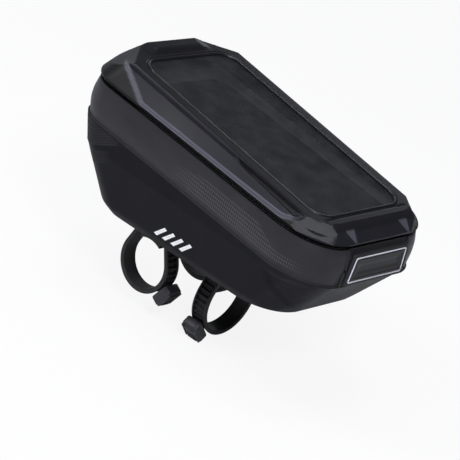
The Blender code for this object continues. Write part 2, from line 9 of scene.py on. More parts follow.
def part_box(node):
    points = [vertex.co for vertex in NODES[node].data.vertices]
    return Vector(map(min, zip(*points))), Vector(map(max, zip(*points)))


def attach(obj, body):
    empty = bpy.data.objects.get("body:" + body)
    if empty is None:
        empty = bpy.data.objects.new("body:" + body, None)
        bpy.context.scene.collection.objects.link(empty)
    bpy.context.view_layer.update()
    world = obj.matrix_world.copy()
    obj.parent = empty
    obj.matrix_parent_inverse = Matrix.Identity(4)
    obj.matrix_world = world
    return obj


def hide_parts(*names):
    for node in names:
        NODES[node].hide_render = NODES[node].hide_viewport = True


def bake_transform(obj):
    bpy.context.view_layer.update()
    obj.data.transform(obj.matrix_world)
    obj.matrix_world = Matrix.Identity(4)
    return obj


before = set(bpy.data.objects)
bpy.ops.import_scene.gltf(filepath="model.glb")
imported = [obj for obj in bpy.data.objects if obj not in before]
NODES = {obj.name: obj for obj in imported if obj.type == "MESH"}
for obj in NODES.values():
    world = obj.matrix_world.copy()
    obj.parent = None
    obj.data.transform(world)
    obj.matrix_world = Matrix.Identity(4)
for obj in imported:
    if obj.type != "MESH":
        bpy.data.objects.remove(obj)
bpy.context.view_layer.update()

# Sizes shared with the solids, in metres. An outline is half width, rear y, front y, the rear corner's
# radius across, the front corners' radius, and the rear corner's radius along
GAP = 0.0003
BODY = (0.0565, -0.111, 0.082, 0.028, 0.018, 0.034)
FRAME = (0.0475, -0.1045, 0.0735, 0.016, 0.016, 0.016)
WINDOW = (0.0398, -0.0932, 0.0595, 0.0120, 0.0120, 0.0120)
PAD = (0.0440, -0.0990, 0.0660, 0.015, 0.015, 0.015)
REAR_Y = BODY[1]
SEAM_X = 0.0285
BAND_FOOT = 0.0234
BAND_WALL = 0.0029
SHELL_DROP = 0.0237
SHELL_WALL = 0.0028
FLOOR = 0.0063
PANEL_OUT = 0.0036
# Heights as straight lines along y: height at y 0, and slope
GROOVE_LINE = (0.0735, 0.1136)
TOP_LINE = (0.0887, 0.1691)
CREASE_LINE = (0.0400, 0.03)


def groove(y):
    return GROOVE_LINE[0] + GROOVE_LINE[1] * y


def lid_top(y):
    return TOP_LINE[0] + TOP_LINE[1] * y


def crease(y):
    return CREASE_LINE[0] + CREASE_LINE[1] * y


def grown(base, grow):
    half, rear, front, r_rear, r_front, run = base
    side, back, ahead, across, round_front, along = grow
    return half + side, rear - back, front + ahead, r_rear + across, r_front + round_front, run + along


# Outlines: points on half the rear, a rear corner, a side, a front corner and half the front
COUNTS = (36, 24, 84, 18, 22)


def plan(base, offset=0.0):
    """Closed outline in plan, counter-clockwise from the middle of the rear."""
    half, rear, front, r_rear, r_front, run = base
    half, rear, front = half + offset, rear - offset, front + offset
    r_rear, r_front, run = r_rear + offset, r_front + offset, run + offset
    n_rear, n_rc, n_side, n_fc, n_front = COUNTS
    low, high = rear + run, front - r_front
    points = [((half - r_rear) * k / n_rear, rear) for k in range(n_rear)]
    for k in range(n_rc):
        t = math.pi / 2 * k / n_rc
        points.append((half - r_rear + r_rear * math.sin(t), rear + run - run * math.cos(t)))
    points += [(half, low + (high - low) * k / n_side) for k in range(n_side)]
    for k in range(n_fc):
        t = math.pi / 2 * k / n_fc
        points.append((half - r_front + r_front * math.cos(t), front - r_front + r_front * math.sin(t)))
    points += [((half - r_front) * (1 - k / n_front), front) for k in range(n_front)]
    points.append((0.0, front))
    return np.array(points + [(-x, y) for x, y in reversed(points[1:-1])])


def ring(base, offset, height):
    xy = plan(base, offset)
    z = height(xy[:, 1]) if callable(height) else np.full(len(xy), height)
    return np.column_stack((xy, z))


def above(rise):
    return lambda y: groove(y) + rise


def below_top(depth):
    return lambda y: lid_top(y) - depth


def sweep(keys):
    """Rings between key rings: keys is a list of (ring, steps to the next)."""
    rings = []
    for (a, steps), (b, _) in zip(keys, keys[1:]):
        rings += [a + (b - a) * k / steps for k in range(steps)]
    rings.append(keys[-1][0])
    return np.array(rings)


def smooth(x):
    x = np.clip(x, 0.0, 1.0)
    return x * x * (3 - 2 * x)


def past(x, start, width):
    """0 up to start, 1 from start + width on."""
    return smooth((x - start) / width)


def until(x, end, width):
    """1 up to end - width, 0 from end on."""
    return smooth((end - x) / width)


def grid_normals(grid, wrap=True):
    if wrap:
        du = np.roll(grid, -1, axis=1) - np.roll(grid, 1, axis=1)
    else:
        du = np.gradient(grid, axis=1)
    dv = np.gradient(grid, axis=0)
    n = np.cross(du, dv)
    return n / np.maximum(np.linalg.norm(n, axis=2, keepdims=True), 1e-9)


def cut(grid, normal, point, where=None):
    """Flatten what stands beyond a plane onto it."""
    n = np.array(normal, float)
    n /= np.linalg.norm(n)
    reach = np.maximum((grid - np.array(point)) @ n, 0.0)
    if where is not None:
        reach = reach * where
    return grid - reach[..., None] * n


# Meshes
def grid_mesh(name, grid, closed_v=False, caps=False, attributes=None, uv=None, split=35.0):
    """Mesh over rows of points; each row is a closed loop."""
    rows, count, _ = grid.shape
    faces = []
    last_row = rows if closed_v else rows - 1
    for i in range(last_row):
        a, b = i * count, ((i + 1) % rows) * count
        for j in range(count):
            k = (j + 1) % count
            faces.append((a + j, a + k, b + k, b + j))
    if caps:
        faces.append(tuple(reversed(range(count))))
        faces.append(tuple((rows - 1) * count + j for j in range(count)))
    mesh = bpy.data.meshes.new(name)
    mesh.from_pydata(grid.reshape(-1, 3).tolist(), [], faces)
    bm = bmesh.new()
    bm.from_mesh(mesh)
    bmesh.ops.recalc_face_normals(bm, faces=bm.faces)
    bm.to_mesh(mesh)
    bm.free()
    mesh.shade_smooth()
    mesh.set_sharp_from_angle(angle=math.radians(split))
    for key, values in (attributes or {}).items():
        layer = mesh.attributes.new(key, "FLOAT", "POINT")
        layer.data.foreach_set("value", np.asarray(values, np.float32).reshape(-1))
    if uv is not None:
        flat = uv.reshape(-1, 2)
        layer = mesh.uv_layers.new(name="UVMap")
        loops = np.empty(len(mesh.loops), np.int32)
        mesh.loops.foreach_get("vertex_index", loops)
        layer.data.foreach_set("uv", flat[loops].astype(np.float32).reshape(-1))
    return mesh


def piece(name, mesh, surface, body=None, stands_for=()):
    obj = bpy.data.objects.new(name, mesh)
    bpy.context.scene.collection.objects.link(obj)
    surfaces = surface if isinstance(surface, (list, tuple)) else [surface]
    for one in surfaces:
        mesh.materials.append(one)
    if body:
        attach(obj, body)
    if stands_for:
        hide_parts(*stands_for)
    return obj


def bm_mesh(name, bm, split=35.0):
    bmesh.ops.recalc_face_normals(bm, faces=bm.faces)
    mesh = bpy.data.meshes.new(name)
    bm.to_mesh(mesh)
    bm.free()
    mesh.shade_smooth()
    mesh.set_sharp_from_angle(angle=math.radians(split))
    return mesh


def rounded_box(size, radius, segments=3):
    bm = bmesh.new()
    bmesh.ops.create_cube(bm, size=1.0)
    bmesh.ops.scale(bm, vec=size, verts=bm.verts)
    bmesh.ops.bevel(bm, geom=list(bm.edges) + list(bm.verts), offset=radius, segments=segments, profile=0.5,
                    affect="EDGES", clamp_overlap=True)
    return bm


def add_bm(target, source, matrix=None):
    mesh = bpy.data.meshes.new("tmp")
    if matrix is not None:
        source.transform(matrix)
    source.to_mesh(mesh)
    source.free()
    target.from_mesh(mesh)
    bpy.data.meshes.remove(mesh)


def arc_uv(grid):
    """UV in metres: along the rows, and across them."""
    step = np.linalg.norm(np.diff(grid, axis=1), axis=2)
    u = np.concatenate((np.zeros((grid.shape[0], 1)), np.cumsum(step, axis=1)), axis=1)
    u = np.tile(u[grid.shape[0] // 2], (grid.shape[0], 1))
    rise = np.linalg.norm(np.diff(grid, axis=0), axis=2).mean(axis=1)
    v = np.concatenate(([0.0], np.cumsum(rise)))
    return np.dstack((u, np.tile(v[:, None], (1, grid.shape[1]))))


# Materials
DASH_PITCH, DASH_ROW_PITCH = 0.00150, 0.00235


class Nodes:
    """A material with its shader, and short ways to add nodes to it."""

    def __init__(self, name):
        self.mat = bpy.data.materials.new(name)
        self.mat.use_nodes = True
        self.tree = self.mat.node_tree
        self.shader = self.tree.nodes["Principled BSDF"]

    def node(self, kind, **values):
        made = self.tree.nodes.new(kind)
        for key, value in values.items():
            if key in made.inputs:
                made.inputs[key].default_value = value
            else:
                setattr(made, key, value)
        return made

    def link(self, a, b):
        self.tree.links.new(a, b)

    def math(self, operation, a, b=None):
        made = self.node("ShaderNodeMath", operation=operation)
        for index, value in enumerate((a, b)):
            if value is None:
                continue
            if isinstance(value, (int, float)):
                made.inputs[index].default_value = value
            else:
                self.link(value, made.inputs[index])
        return made.outputs[0]

    def ramp(self, source, low, high, dark, light):
        made = self.node("ShaderNodeValToRGB")
        made.color_ramp.elements[0].position = low
        made.color_ramp.elements[1].position = high
        made.color_ramp.elements[0].color = (*dark, 1)
        made.color_ramp.elements[1].color = (*light, 1)
        self.link(source, made.inputs[0])
        return made.outputs[0]

    def mix(self, factor, a, b):
        made = self.node("ShaderNodeMix", data_type="RGBA")
        for socket, value in ((made.inputs[0], factor), (made.inputs[6], a), (made.inputs[7], b)):
            if isinstance(value, tuple):
                socket.default_value = (*value, 1)
            elif isinstance(value, (int, float)):
                socket.default_value = value
            else:
                self.link(value, socket)
        return made.outputs[2]

    def noise(self, vector, scale, detail=3.0, rough=0.55):
        made = self.node("ShaderNodeTexNoise", Scale=scale, Detail=detail, Roughness=rough)
        self.link(vector, made.inputs["Vector"])
        return made.outputs["Fac"]

    def coords(self):
        return self.node("ShaderNodeTexCoord").outputs["Object"]

    def bump(self, height, strength, distance, base=None):
        made = self.node("ShaderNodeBump", Strength=strength, Distance=distance)
        self.link(height, made.inputs["Height"])
        if base is not None:
            self.link(base, made.inputs["Normal"])
        return made.outputs["Normal"]

    def value(self, **values):
        for key, value in values.items():
            socket = self.shader.inputs[key.replace("_", " ")]
            if isinstance(value, tuple):
                socket.default_value = (*value, 1)
            elif isinstance(value, (int, float)):
                socket.default_value = value
            else:
                self.link(value, socket)

    def attribute(self, name):
        return self.node("ShaderNodeAttribute", attribute_name=name).outputs["Fac"]


def moulded(name, dark, light, rough, grain, bump, specular, painted_highlight=None, highlight_colour=None):
    """Moulded foam, rubber or plastic: fine grain, slow tone changes, lighter edges that are part wear and
    part painted highlight, and painted shade and painted highlight where the attributes say.
    """
    m = Nodes(name)
    place = m.coords()
    fine = m.noise(place, grain, 2.0)
    broad = m.noise(place, 38.0, 4.0)
    colour = m.ramp(broad, 0.32, 0.70, dark, light)
    # Lighter edges by pointiness: part wear, part painted highlight that makes the facet edges look lit
    edge = m.node("ShaderNodeNewGeometry").outputs["Pointiness"]
    edge_wear_and_highlight = m.ramp(edge, 0.50, 0.60, (0, 0, 0), (1, 1, 1))
    edge_wear_and_highlight_colour = tuple(c * 1.8 + 0.004 for c in light)
    colour = m.mix(m.math("MULTIPLY", edge_wear_and_highlight, 0.45), colour, edge_wear_and_highlight_colour)
    # Painted shade where the shade attribute says, and a painted highlight in the given colour where the
    # other attribute says
    if painted_highlight:
        colour = m.mix(m.attribute("shade"), colour, (0.002, 0.002, 0.0024))
        colour = m.mix(m.attribute(painted_highlight), colour, highlight_colour)
    roughness = m.math("ADD", m.math("MULTIPLY", broad, 0.22), rough - 0.11)
    m.value(Base_Color=colour, Roughness=roughness, Specular_IOR_Level=specular)
    m.value(Normal=m.bump(fine, bump, 0.0002))
    return m.mat


def woven(name, dark, light, pitch, rough, bump, ribbed=False, specular=0.25, sheen=0.15, raised=None):
    """Weave on a UV map in metres, with ribs or rows of printed dashes where they are asked for."""
    m = Nodes(name)
    uv = m.node("ShaderNodeUVMap", uv_map="UVMap").outputs["UV"]
    split = m.node("ShaderNodeSeparateXYZ")
    m.link(uv, split.inputs[0])
    u, v = split.outputs[0], split.outputs[1]
    turn = 2 * math.pi / pitch
    across = m.math("SINE", m.math("MULTIPLY", u, turn))
    along = m.math("SINE", m.math("MULTIPLY", v, turn * (0.42 if ribbed else 1.0)))
    weave = m.math("MULTIPLY", across, m.math("ADD", along, 1.2) if ribbed else along)
    height = m.math("ADD", m.math("MULTIPLY", weave, 0.25), 0.5)
    place = m.coords()
    broad = m.noise(place, 30.0, 4.0)
    fine = m.noise(place, 1800.0, 2.0)
    tone = m.math("ADD", m.math("MULTIPLY", height, 0.35), m.math("MULTIPLY", broad, 0.65))
    colour = m.ramp(tone, 0.25, 0.75, dark, light)
    if raised:
        # The dashes lie where the point attribute says
        dash = m.math("SINE", m.math("MULTIPLY", u, 2 * math.pi / DASH_PITCH))
        row = m.math("SINE", m.math("MULTIPLY", v, 2 * math.pi / DASH_ROW_PITCH))
        spot = m.math("MULTIPLY", m.math("GREATER_THAN", dash, 0.15), m.math("GREATER_THAN", row, -0.35))
        spot = m.math("MULTIPLY", spot, m.attribute(raised))
        colour = m.mix(m.math("MULTIPLY", spot, 0.85), colour, tuple(c * 2.2 for c in light))
        height = m.math("ADD", height, spot)
    m.value(Base_Color=colour, Roughness=m.math("ADD", m.math("MULTIPLY", fine, 0.2), rough - 0.1))
    m.value(Specular_IOR_Level=specular, Sheen_Weight=sheen, Sheen_Roughness=0.45)
    soft = m.bump(broad, 0.25, 0.0010)
    m.value(Normal=m.bump(height, bump, 0.00025, soft))
    return m.mat


def metal(name, colour, rough):
    """Painted metal with slow tone changes."""
    m = Nodes(name)
    place = m.coords()
    fine = m.noise(place, 1400.0, 3.0)
    broad = m.noise(place, 160.0, 3.0)
    tone = m.ramp(broad, 0.3, 0.7, tuple(c * 0.8 for c in colour), tuple(c * 1.3 for c in colour))
    roughness = m.math("ADD", m.math("MULTIPLY", fine, 0.2), rough - 0.1)
    m.value(Base_Color=tone, Metallic=0.85, Roughness=roughness)
    m.value(Normal=m.bump(fine, 0.08, 0.0001))
    return m.mat


def film_material():
    """Clear film: mostly see-through, with a faint haze and a soft, slightly wavy gloss."""
    m = Nodes("clear_film")
    place = m.coords()
    wave = m.noise(place, 26.0, 2.0)
    haze = m.noise(place, 90.0, 4.0)
    tone = m.ramp(haze, 0.3, 0.7, (0.05, 0.052, 0.056), (0.09, 0.094, 0.10))
    m.value(Base_Color=tone, Specular_IOR_Level=1.0)
    m.value(Roughness=m.math("ADD", m.math("MULTIPLY", haze, 0.06), 0.06))
    m.value(Alpha=m.math("ADD", m.math("MULTIPLY", haze, 0.10), 0.12))
    m.value(Normal=m.bump(wave, 0.25, 0.0008))
    return m.mat


# Moulded surfaces: dark and light tone, roughness, grain per metre, bump, gloss, painted highlight attribute
# and its colour
# The shell's painted highlight colour lies on the crests of its front ribs
SHELL_MAT = moulded("shell_foam", (0.0062, 0.0062, 0.0084), (0.0095, 0.0095, 0.0125), 0.48, 2400, 0.20, 0.10,
                    "painted_highlight", (0.055, 0.055, 0.064))
# The lid's painted highlight colour lies on the step round its side panels and on its rear notches
LID_MAT = moulded("lid_foam", (0.0085, 0.0085, 0.0125), (0.0125, 0.0125, 0.0180), 0.42, 2600, 0.08, 0.24,
                  "painted_highlight", (0.105, 0.105, 0.130))
# Woven surfaces: dark and light tone, pitch, roughness and bump, then ribs, gloss, sheen and printed field
BAND_MAT = woven("band_cloth", (0.016, 0.0157, 0.0185), (0.034, 0.0333, 0.0390), 0.0010, 0.50, 0.45,
                 specular=0.24, sheen=0.10, raised="dash")
PANEL_MAT = woven("panel_cloth", (0.010, 0.010, 0.012), (0.018, 0.018, 0.021), 0.0009, 0.60, 0.35,
                  specular=0.22, sheen=0.08)
TAPE_MAT = woven("tape_cloth", (0.006, 0.006, 0.0065), (0.013, 0.013, 0.014), 0.0008, 0.8, 0.6)
LINING_MAT = woven("lining_cloth", (0.016, 0.016, 0.017), (0.030, 0.030, 0.032), 0.0010, 0.8, 0.4)
ELASTIC_MAT = woven("elastic_cloth", (0.010, 0.010, 0.011), (0.024, 0.024, 0.026), 0.0013, 0.75, 0.8,
                    ribbed=True)
PAD_MAT = moulded("pad_cloth", (0.0050, 0.0050, 0.0062), (0.0085, 0.0085, 0.0100), 0.85, 1900, 0.06, 0.08)
RUBBER_MAT = moulded("rubber", (0.0075, 0.0075, 0.0085), (0.013, 0.013, 0.014), 0.55, 2000, 0.25, 0.35)
LABEL_MAT = moulded("label_rubber", (0.0085, 0.0085, 0.0105), (0.0125, 0.0125, 0.0155), 0.45, 1900, 0.15,
                     0.28)
SEAL_MAT = moulded("window_seal", (0.004, 0.004, 0.0045), (0.007, 0.007, 0.008), 0.33, 1800, 0.1, 0.5)
PLASTIC_MAT = moulded("black_plastic", (0.011, 0.011, 0.013), (0.018, 0.018, 0.021), 0.42, 2200, 0.15, 0.45)
COIL_MAT = moulded("coil_nylon", (0.006, 0.006, 0.007), (0.012, 0.012, 0.013), 0.35, 3000, 0.1, 0.5)
PIPING_MAT = moulded("piping_silver", (0.46, 0.46, 0.50), (0.60, 0.60, 0.65), 0.36, 1500, 0.15, 0.5)
REFLECT_MAT = moulded("reflective_print", (0.74, 0.74, 0.75), (0.86, 0.86, 0.87), 0.5, 900, 0.1, 0.4)
WELT_MAT = moulded("welt_cloth", (0.010, 0.010, 0.011), (0.019, 0.019, 0.021), 0.6, 1500, 0.5, 0.25)
STEEL_MAT = metal("black_metal", (0.055, 0.055, 0.06), 0.38)
FILM_MAT = film_material()


# Lower shell: its outlines from the rim down, then the forms on them, in metres
RIM = grown(BODY, (0.0014, 0.0022, 0.0025, 0.0014, 0.0020, 0.0014))
FOLD = grown(BODY, (0.0010, 0.0005, -0.0025, 0.0010, 0.0030, 0.0005))
LOW = grown(BODY, (-0.0050, -0.0195, -0.0210, 0.0, 0.0030, -0.0040))
BOTTOM = grown(BODY, (-0.0090, -0.0230, -0.0265, -0.0020, 0.0010, -0.0060))
LOW_Z = 0.0108
RIM_LIP = 0.0002
RIM_ROUND = 0.0008
RIM_INSIDE = 0.0020
WAIST_SHARE = 0.38
FIRST_SIDE_ROW = 3
FACET_FACING = (0.649, -0.541, -0.535)
FACET_APEX = (0.0490, -0.1014, 0.0367)
FACET_DEPTH = 0.0013
SHELL_CENTRE = np.array((0.0, -0.015, 0.04))
SIDE_END_Y, SIDE_END_Z, SIDE_END_SLANT = -0.0790, 0.0357, 0.51
SIDE_END_STEP = 0.0008
RIB_PITCH = 0.00170
RIB_HEIGHT = 0.00040
RIB_CLIMB, RIB_CLIMB_Y = 0.45, 0.066
RIBS_HIGH = (0.0410, 0.0590)
RIBS_LOW = (0.0290, 0.0382)
RIBS_EDGE = 0.0008


def mirrored(side, place):
    return np.array((side * place[0], place[1], place[2]))


def shell_outside():
    """Rings from the rim down to the floor, with a flat facet across each rear corner."""
    rim, fold = ring(RIM, 0, above(-SHELL_DROP)), ring(FOLD, 0, crease)
    low, floor = ring(LOW, 0, LOW_Z), ring(BOTTOM, 0, FLOOR)
    waist = fold + (low - fold) * WAIST_SHARE
    top = ring(RIM, -RIM_ROUND, above(-SHELL_DROP + RIM_LIP))
    outer = sweep([(top, 1), (rim, 96), (fold, 64), (waist, 26), (low, 5), (floor, 1)])
    # Soften the fold and the bottom edge
    for _ in range(3):
        middle = (outer[FIRST_SIDE_ROW - 1:-2] + outer[FIRST_SIDE_ROW + 1:]) / 2
        outer[FIRST_SIDE_ROW:-1] += (middle - outer[FIRST_SIDE_ROW:-1]) / 2
    below_rim = np.arange(len(outer))[:, None] >= FIRST_SIDE_ROW
    for side in (-1, 1):
        facing = mirrored(side, FACET_FACING)
        outer = cut(outer, facing, mirrored(side, FACET_APEX) - FACET_DEPTH * facing, below_rim)
    return outer


def shell_inside():
    return sweep([
        (ring(BOTTOM, -SHELL_WALL, FLOOR + SHELL_WALL), 3),
        (ring(LOW, -SHELL_WALL, LOW_Z + SHELL_WALL / 2), 10),
        (ring(FOLD, -SHELL_WALL, crease), 8),
        (ring(RIM, -SHELL_WALL, above(-SHELL_DROP)), 1),
        (ring(RIM, -RIM_INSIDE, above(-SHELL_DROP + RIM_LIP)), 1),
    ])


def behind_side_panel(x, y, z):
    """Where the shell steps in, behind the slanted crease that ends each side panel."""
    end = SIDE_END_Y - (SIDE_END_Z - z) * SIDE_END_SLANT
    mask = until(y, end, 0.0012) * until(z, crease(y) - 0.0010, 0.0040)
    return mask * past(np.abs(x), 0.034, 0.004) * past(z, 0.0110, 0.0040) * past(y, -0.104, 0.012)


def front_ribs(x, y, z):
    """Height of the ribs round the front corners and a painted highlight on their crests; along the sides
    they climb.
    """
    lift = z - RIB_CLIMB * np.maximum(RIB_CLIMB_Y - y, 0.0)
    high = past(lift, RIBS_HIGH[0], RIBS_EDGE) * until(lift, RIBS_HIGH[1], RIBS_EDGE)
    low = past(lift, RIBS_LOW[0], RIBS_EDGE) * until(lift, RIBS_LOW[1], RIBS_EDGE) * 0.7
    fade = past(y, 0.040, 0.010) * past(np.abs(x), 0.012, 0.020) * (high + low * past(y, 0.047, 0.010))
    fade = fade * until(z, above(-SHELL_DROP)(y) - 0.0006, 0.0010)
    wave = 0.5 + 0.5 * np.cos(2 * math.pi * lift / RIB_PITCH)
    return RIB_HEIGHT * (wave - 0.5) * fade, past(wave, 0.45, 0.35) * fade * 0.8


def build_shell():
    outer, inner = shell_outside(), shell_inside()
    normal = grid_normals(outer)
    sideways = outer - SHELL_CENTRE
    sideways[..., 2] = 0.0
    normal = normal * np.sign((sideways * normal).sum(axis=2).mean())
    x, y, z = outer[..., 0], outer[..., 1], outer[..., 2]
    height, crest_highlight = front_ribs(x, y, z)
    outer = outer + normal * (height - SIDE_END_STEP * behind_side_panel(x, y, z))[..., None]
    grid = np.concatenate((inner, outer))
    # Painted highlight on the crests of the ribs, none inside
    painted_highlight = np.concatenate((np.zeros(inner.shape[:2]), crest_highlight))
    mesh = grid_mesh("shell_body", grid, caps=True, attributes={"painted_highlight": painted_highlight}, uv=arc_uv(grid), split=28)
    piece("shell_body", mesh, [SHELL_MAT, LINING_MAT], "bag", ("lower_shell",))
    # The lining covers the inside walls and the inside floor
    wall_faces = (len(inner) - 2) * grid.shape[1]
    floor_face = len(mesh.polygons) - 2
    for polygon in mesh.polygons:
        if polygon.index < wall_faces or polygon.index == floor_face:
            polygon.material_index = 1


# Reflective bars: the first bar's corners as (y, z), then the step to the next bar
BAR_CORNERS = ((0.0048, 0.0140), (0.0021, 0.0134), (-0.0050, 0.0202), (-0.0030, 0.0212))
BAR_STEP = -0.0069
BAR_COUNT = 4
BAR_LIFT = 0.00022
BAR_DEPTH = 0.0003
BAR_SPANS = 6


def shell_side_x(y, z):
    share = (z - LOW_Z) / (crease(y) - LOW_Z)
    return LOW[0] + (FOLD[0] - LOW[0]) * share


def bar_point(a, b):
    """Place (y, z) in the first bar, a of the way across it and b of the way along it."""
    low = [(1 - a) * p + a * q for p, q in zip(BAR_CORNERS[0], BAR_CORNERS[1])]
    high = [(1 - a) * p + a * q for p, q in zip(BAR_CORNERS[3], BAR_CORNERS[2])]
    return [(1 - b) * p + b * q for p, q in zip(low, high)]


def add_bar(bm, side, shift):
    rows = []
    for a in np.linspace(0, 1, 3):
        row = []
        for b in np.linspace(0, 1, BAR_SPANS + 1):
            y, z = bar_point(a, b)
            row.append(bm.verts.new((side * (shell_side_x(y + shift, z) + BAR_LIFT), y + shift, z)))
        rows.append(row)
    for low, high in zip(rows, rows[1:]):
        for j in range(BAR_SPANS):
            bm.faces.new((low[j], low[j + 1], high[j + 1], high[j]))
    for edge in (rows[0], rows[-1]):
        under = [bm.verts.new((v.co.x - side * BAR_DEPTH, v.co.y, v.co.z)) for v in edge]
        for j in range(BAR_SPANS):
            bm.faces.new((edge[j], edge[j + 1], under[j + 1], under[j]))


def build_bars():
    """Slanted reflective bars low on each side."""
    bm = bmesh.new()
    for side in (-1, 1):
        for index in range(BAR_COUNT):
            add_bar(bm, side, BAR_STEP * index)
    piece("reflective_bars", bm_mesh("reflective_bars", bm), REFLECT_MAT, "bag")


# Band: cloth round the sides and front, ending at the two rear seams
LIP_FOOT = 0.0022
BAND_BULGE = 0.0017
BAND_FACE = 0.0004
BAND_HEM = 0.0006
BAND_SPANS = 24
BAND_FACE_ROWS = 28
BAND_SPLIT = 50


def band_path(offset):
    xy = plan(BODY, offset)
    return xy[COUNTS[0]:len(xy) - COUNTS[0] + 1]


def strip_grid(profile):
    """Closed profile of (offset, height above the groove) swept along the band's path."""
    rows = []
    for offset, rise in profile:
        xy = band_path(offset)
        rows.append(np.column_stack((xy, groove(xy[:, 1]) + rise)))
    return np.array(rows)


def strip_piece(name, grid, surface, body, node, attributes=None):
    """Piece from a closed profile's rows, capped at both ends, with its UV along the strip."""
    mesh = grid_mesh(name, grid.transpose(1, 0, 2), caps=True, attributes=attributes,
                     uv=arc_uv(grid).transpose(1, 0, 2), split=BAND_SPLIT)
    piece(name, mesh, surface, body, (node,))


def band_profile():
    """Section of the band: over the lip, down the bulging face, round the hem and up the inside."""
    profile = [(-0.0009, -0.0011), (-0.0005, -0.00085), (0.0, -0.0010), (0.00035, -0.0014),
               (BAND_FACE, -LIP_FOOT)]
    for k in range(1, BAND_SPANS + 1):
        t = k / BAND_SPANS
        bulge = BAND_BULGE * math.sin(math.pi * min(t * 0.86 + 0.06, 1.0)) + BAND_FACE
        profile.append((bulge, -LIP_FOOT - t * (BAND_FOOT - LIP_FOOT - BAND_HEM)))
    profile += [(0.0012, -BAND_FOOT + 0.0001), (BAND_FACE, -BAND_FOOT), (-BAND_WALL, -BAND_FOOT)]
    return profile + [(-BAND_WALL, -0.0032), (-0.0011, -0.0030), (-0.0010, -0.0016)]


def printed_field(y, rise):
    """Where the band carries its rows of printed dashes."""
    low = -0.0205 + 0.004 * past(y, 0.004, 0.03)
    high = -0.0135 + 0.0075 * past(y, -0.085, 0.02) * until(y, 0.020, 0.05)
    field = past(rise, low, 0.0015) * until(rise, high, 0.0015)
    return field * until(y, 0.006, 0.030) * past(y, -0.102, 0.010)


def build_band():
    grid = strip_grid(band_profile())
    x, y, z = grid[..., 0], grid[..., 1], grid[..., 2]
    rise = z - groove(y)
    path = np.linspace(0, 1, grid.shape[1])[None, :]
    face = (np.arange(grid.shape[0]) < BAND_FACE_ROWS)[:, None]
    # Slow ripples in the cloth, strongest in the middle of its height
    middle = smooth((-rise - 0.003) / 0.006) * past(rise, 0.001 - BAND_FOOT, 0.006)
    ripple = np.sin(path * 61 + rise * 260) * 0.00012 + np.sin(path * 23 + 1.3 + rise * 120) * 0.00022
    normal = grid_normals(grid, wrap=False)
    probe = BAND_SPANS // 2 - 2
    sideways = np.column_stack((x[probe], y[probe] - SHELL_CENTRE[1], np.zeros(len(x[probe]))))
    sign = np.sign((normal[probe] * sideways).sum(axis=1).mean())
    grid = grid + normal * sign * (ripple * middle * face)[..., None]
    dash = printed_field(y, rise) * face
    strip_piece("band_cloth", grid, BAND_MAT, "bag", "rain_flap_band", {"dash": dash.T})


def tube(points, radius, sides=8, closed=False):
    """Round tube along points, as a bmesh."""
    points = [Vector(p) for p in points]
    bm = bmesh.new()
    loops = []
    count = len(points)
    for i, p in enumerate(points):
        ahead = points[(i + 1) % count] if closed or i < count - 1 else p
        behind = points[i - 1] if closed or i > 0 else p
        tangent = (ahead - behind).normalized()
        side = tangent.cross(Vector((0, 0, 1)))
        if side.length < 0.1:
            side = tangent.cross(Vector((0, 1, 0)))
        side.normalize()
        up = side.cross(tangent).normalized()
        turns = (2 * math.pi * k / sides for k in range(sides))
        loops.append([bm.verts.new(p + radius * (math.cos(t) * side + math.sin(t) * up)) for t in turns])
    for i in range(count if closed else count - 1):
        a, b = loops[i], loops[(i + 1) % count]
        for j in range(sides):
            k = (j + 1) % sides
            bm.faces.new((a[j], a[k], b[k], b[j]))
    if not closed:
        bm.faces.new(loops[0])
        bm.faces.new(list(reversed(loops[-1])))
    return bm


def seam_line(side):
    """The rear seam on one side, spreading as it runs down."""
    line = []
    for k in range(13):
        t = k / 12
        out = 0.0004 + PANEL_OUT * 0.55 * math.sin(math.pi * min(t * 1.3, 1) * 0.5)
        rise = -0.0012 - t * (BAND_FOOT - 0.0016)
        line.append((side * (SEAM_X + 0.0016 * t), REAR_Y - out, groove(REAR_Y) + rise))
    return line


def build_band_edges():
    """Welts along the band's lip and foot and at its two rear seams."""
    bm = bmesh.new()
    for offset, rise, radius in ((0.00005, -0.0010, 0.00040), (0.0013, -BAND_FOOT - 0.0001, 0.00045)):
        add_bm(bm, tube([(x, y, groove(y) + rise) for x, y in band_path(offset)], radius, 6))
    for side in (-1, 1):
        add_bm(bm, tube(seam_line(side), 0.0009, 8))
    piece("band_welts", bm_mesh("band_welts", bm, 60), WELT_MAT, "bag")


# Rear panel and label
PANEL_TOP = 0.0008
PANEL_SEAM_SHARE = 0.45
LABEL_TOP = groove(REAR_Y) - 0.0055
LABEL_HEIGHT = 0.0140
LABEL_TOP_HALF, LABEL_LOW_HALF = 0.0231, 0.0248


def build_rear_panel():
    """Cloth across the rear, bulging between its two seams."""
    profile = []
    for k in range(19):
        t = k / 18
        out = PANEL_OUT * float(smooth(t / 0.22) * until(t, 1.10, 0.14))
        profile.append((out, -PANEL_TOP - t * (BAND_FOOT - PANEL_TOP)))
    profile += [(-BAND_WALL, -BAND_FOOT), (-BAND_WALL, -0.0030), (-0.0010, -PANEL_TOP)]
    half = SEAM_X - GAP
    columns = np.linspace(-half, half, 41)
    swell = PANEL_SEAM_SHARE + (1 - PANEL_SEAM_SHARE) * (1 - (np.abs(columns) / half) ** 6)
    rows = []
    for out, rise in profile:
        y = REAR_Y - (out * swell if out > 0 else np.full(len(columns), out))
        rows.append(np.column_stack((columns, y, np.full(len(columns), groove(REAR_Y) + rise))))
    strip_piece("panel_cloth", np.array(rows), PANEL_MAT, "bag", "rear_panel")


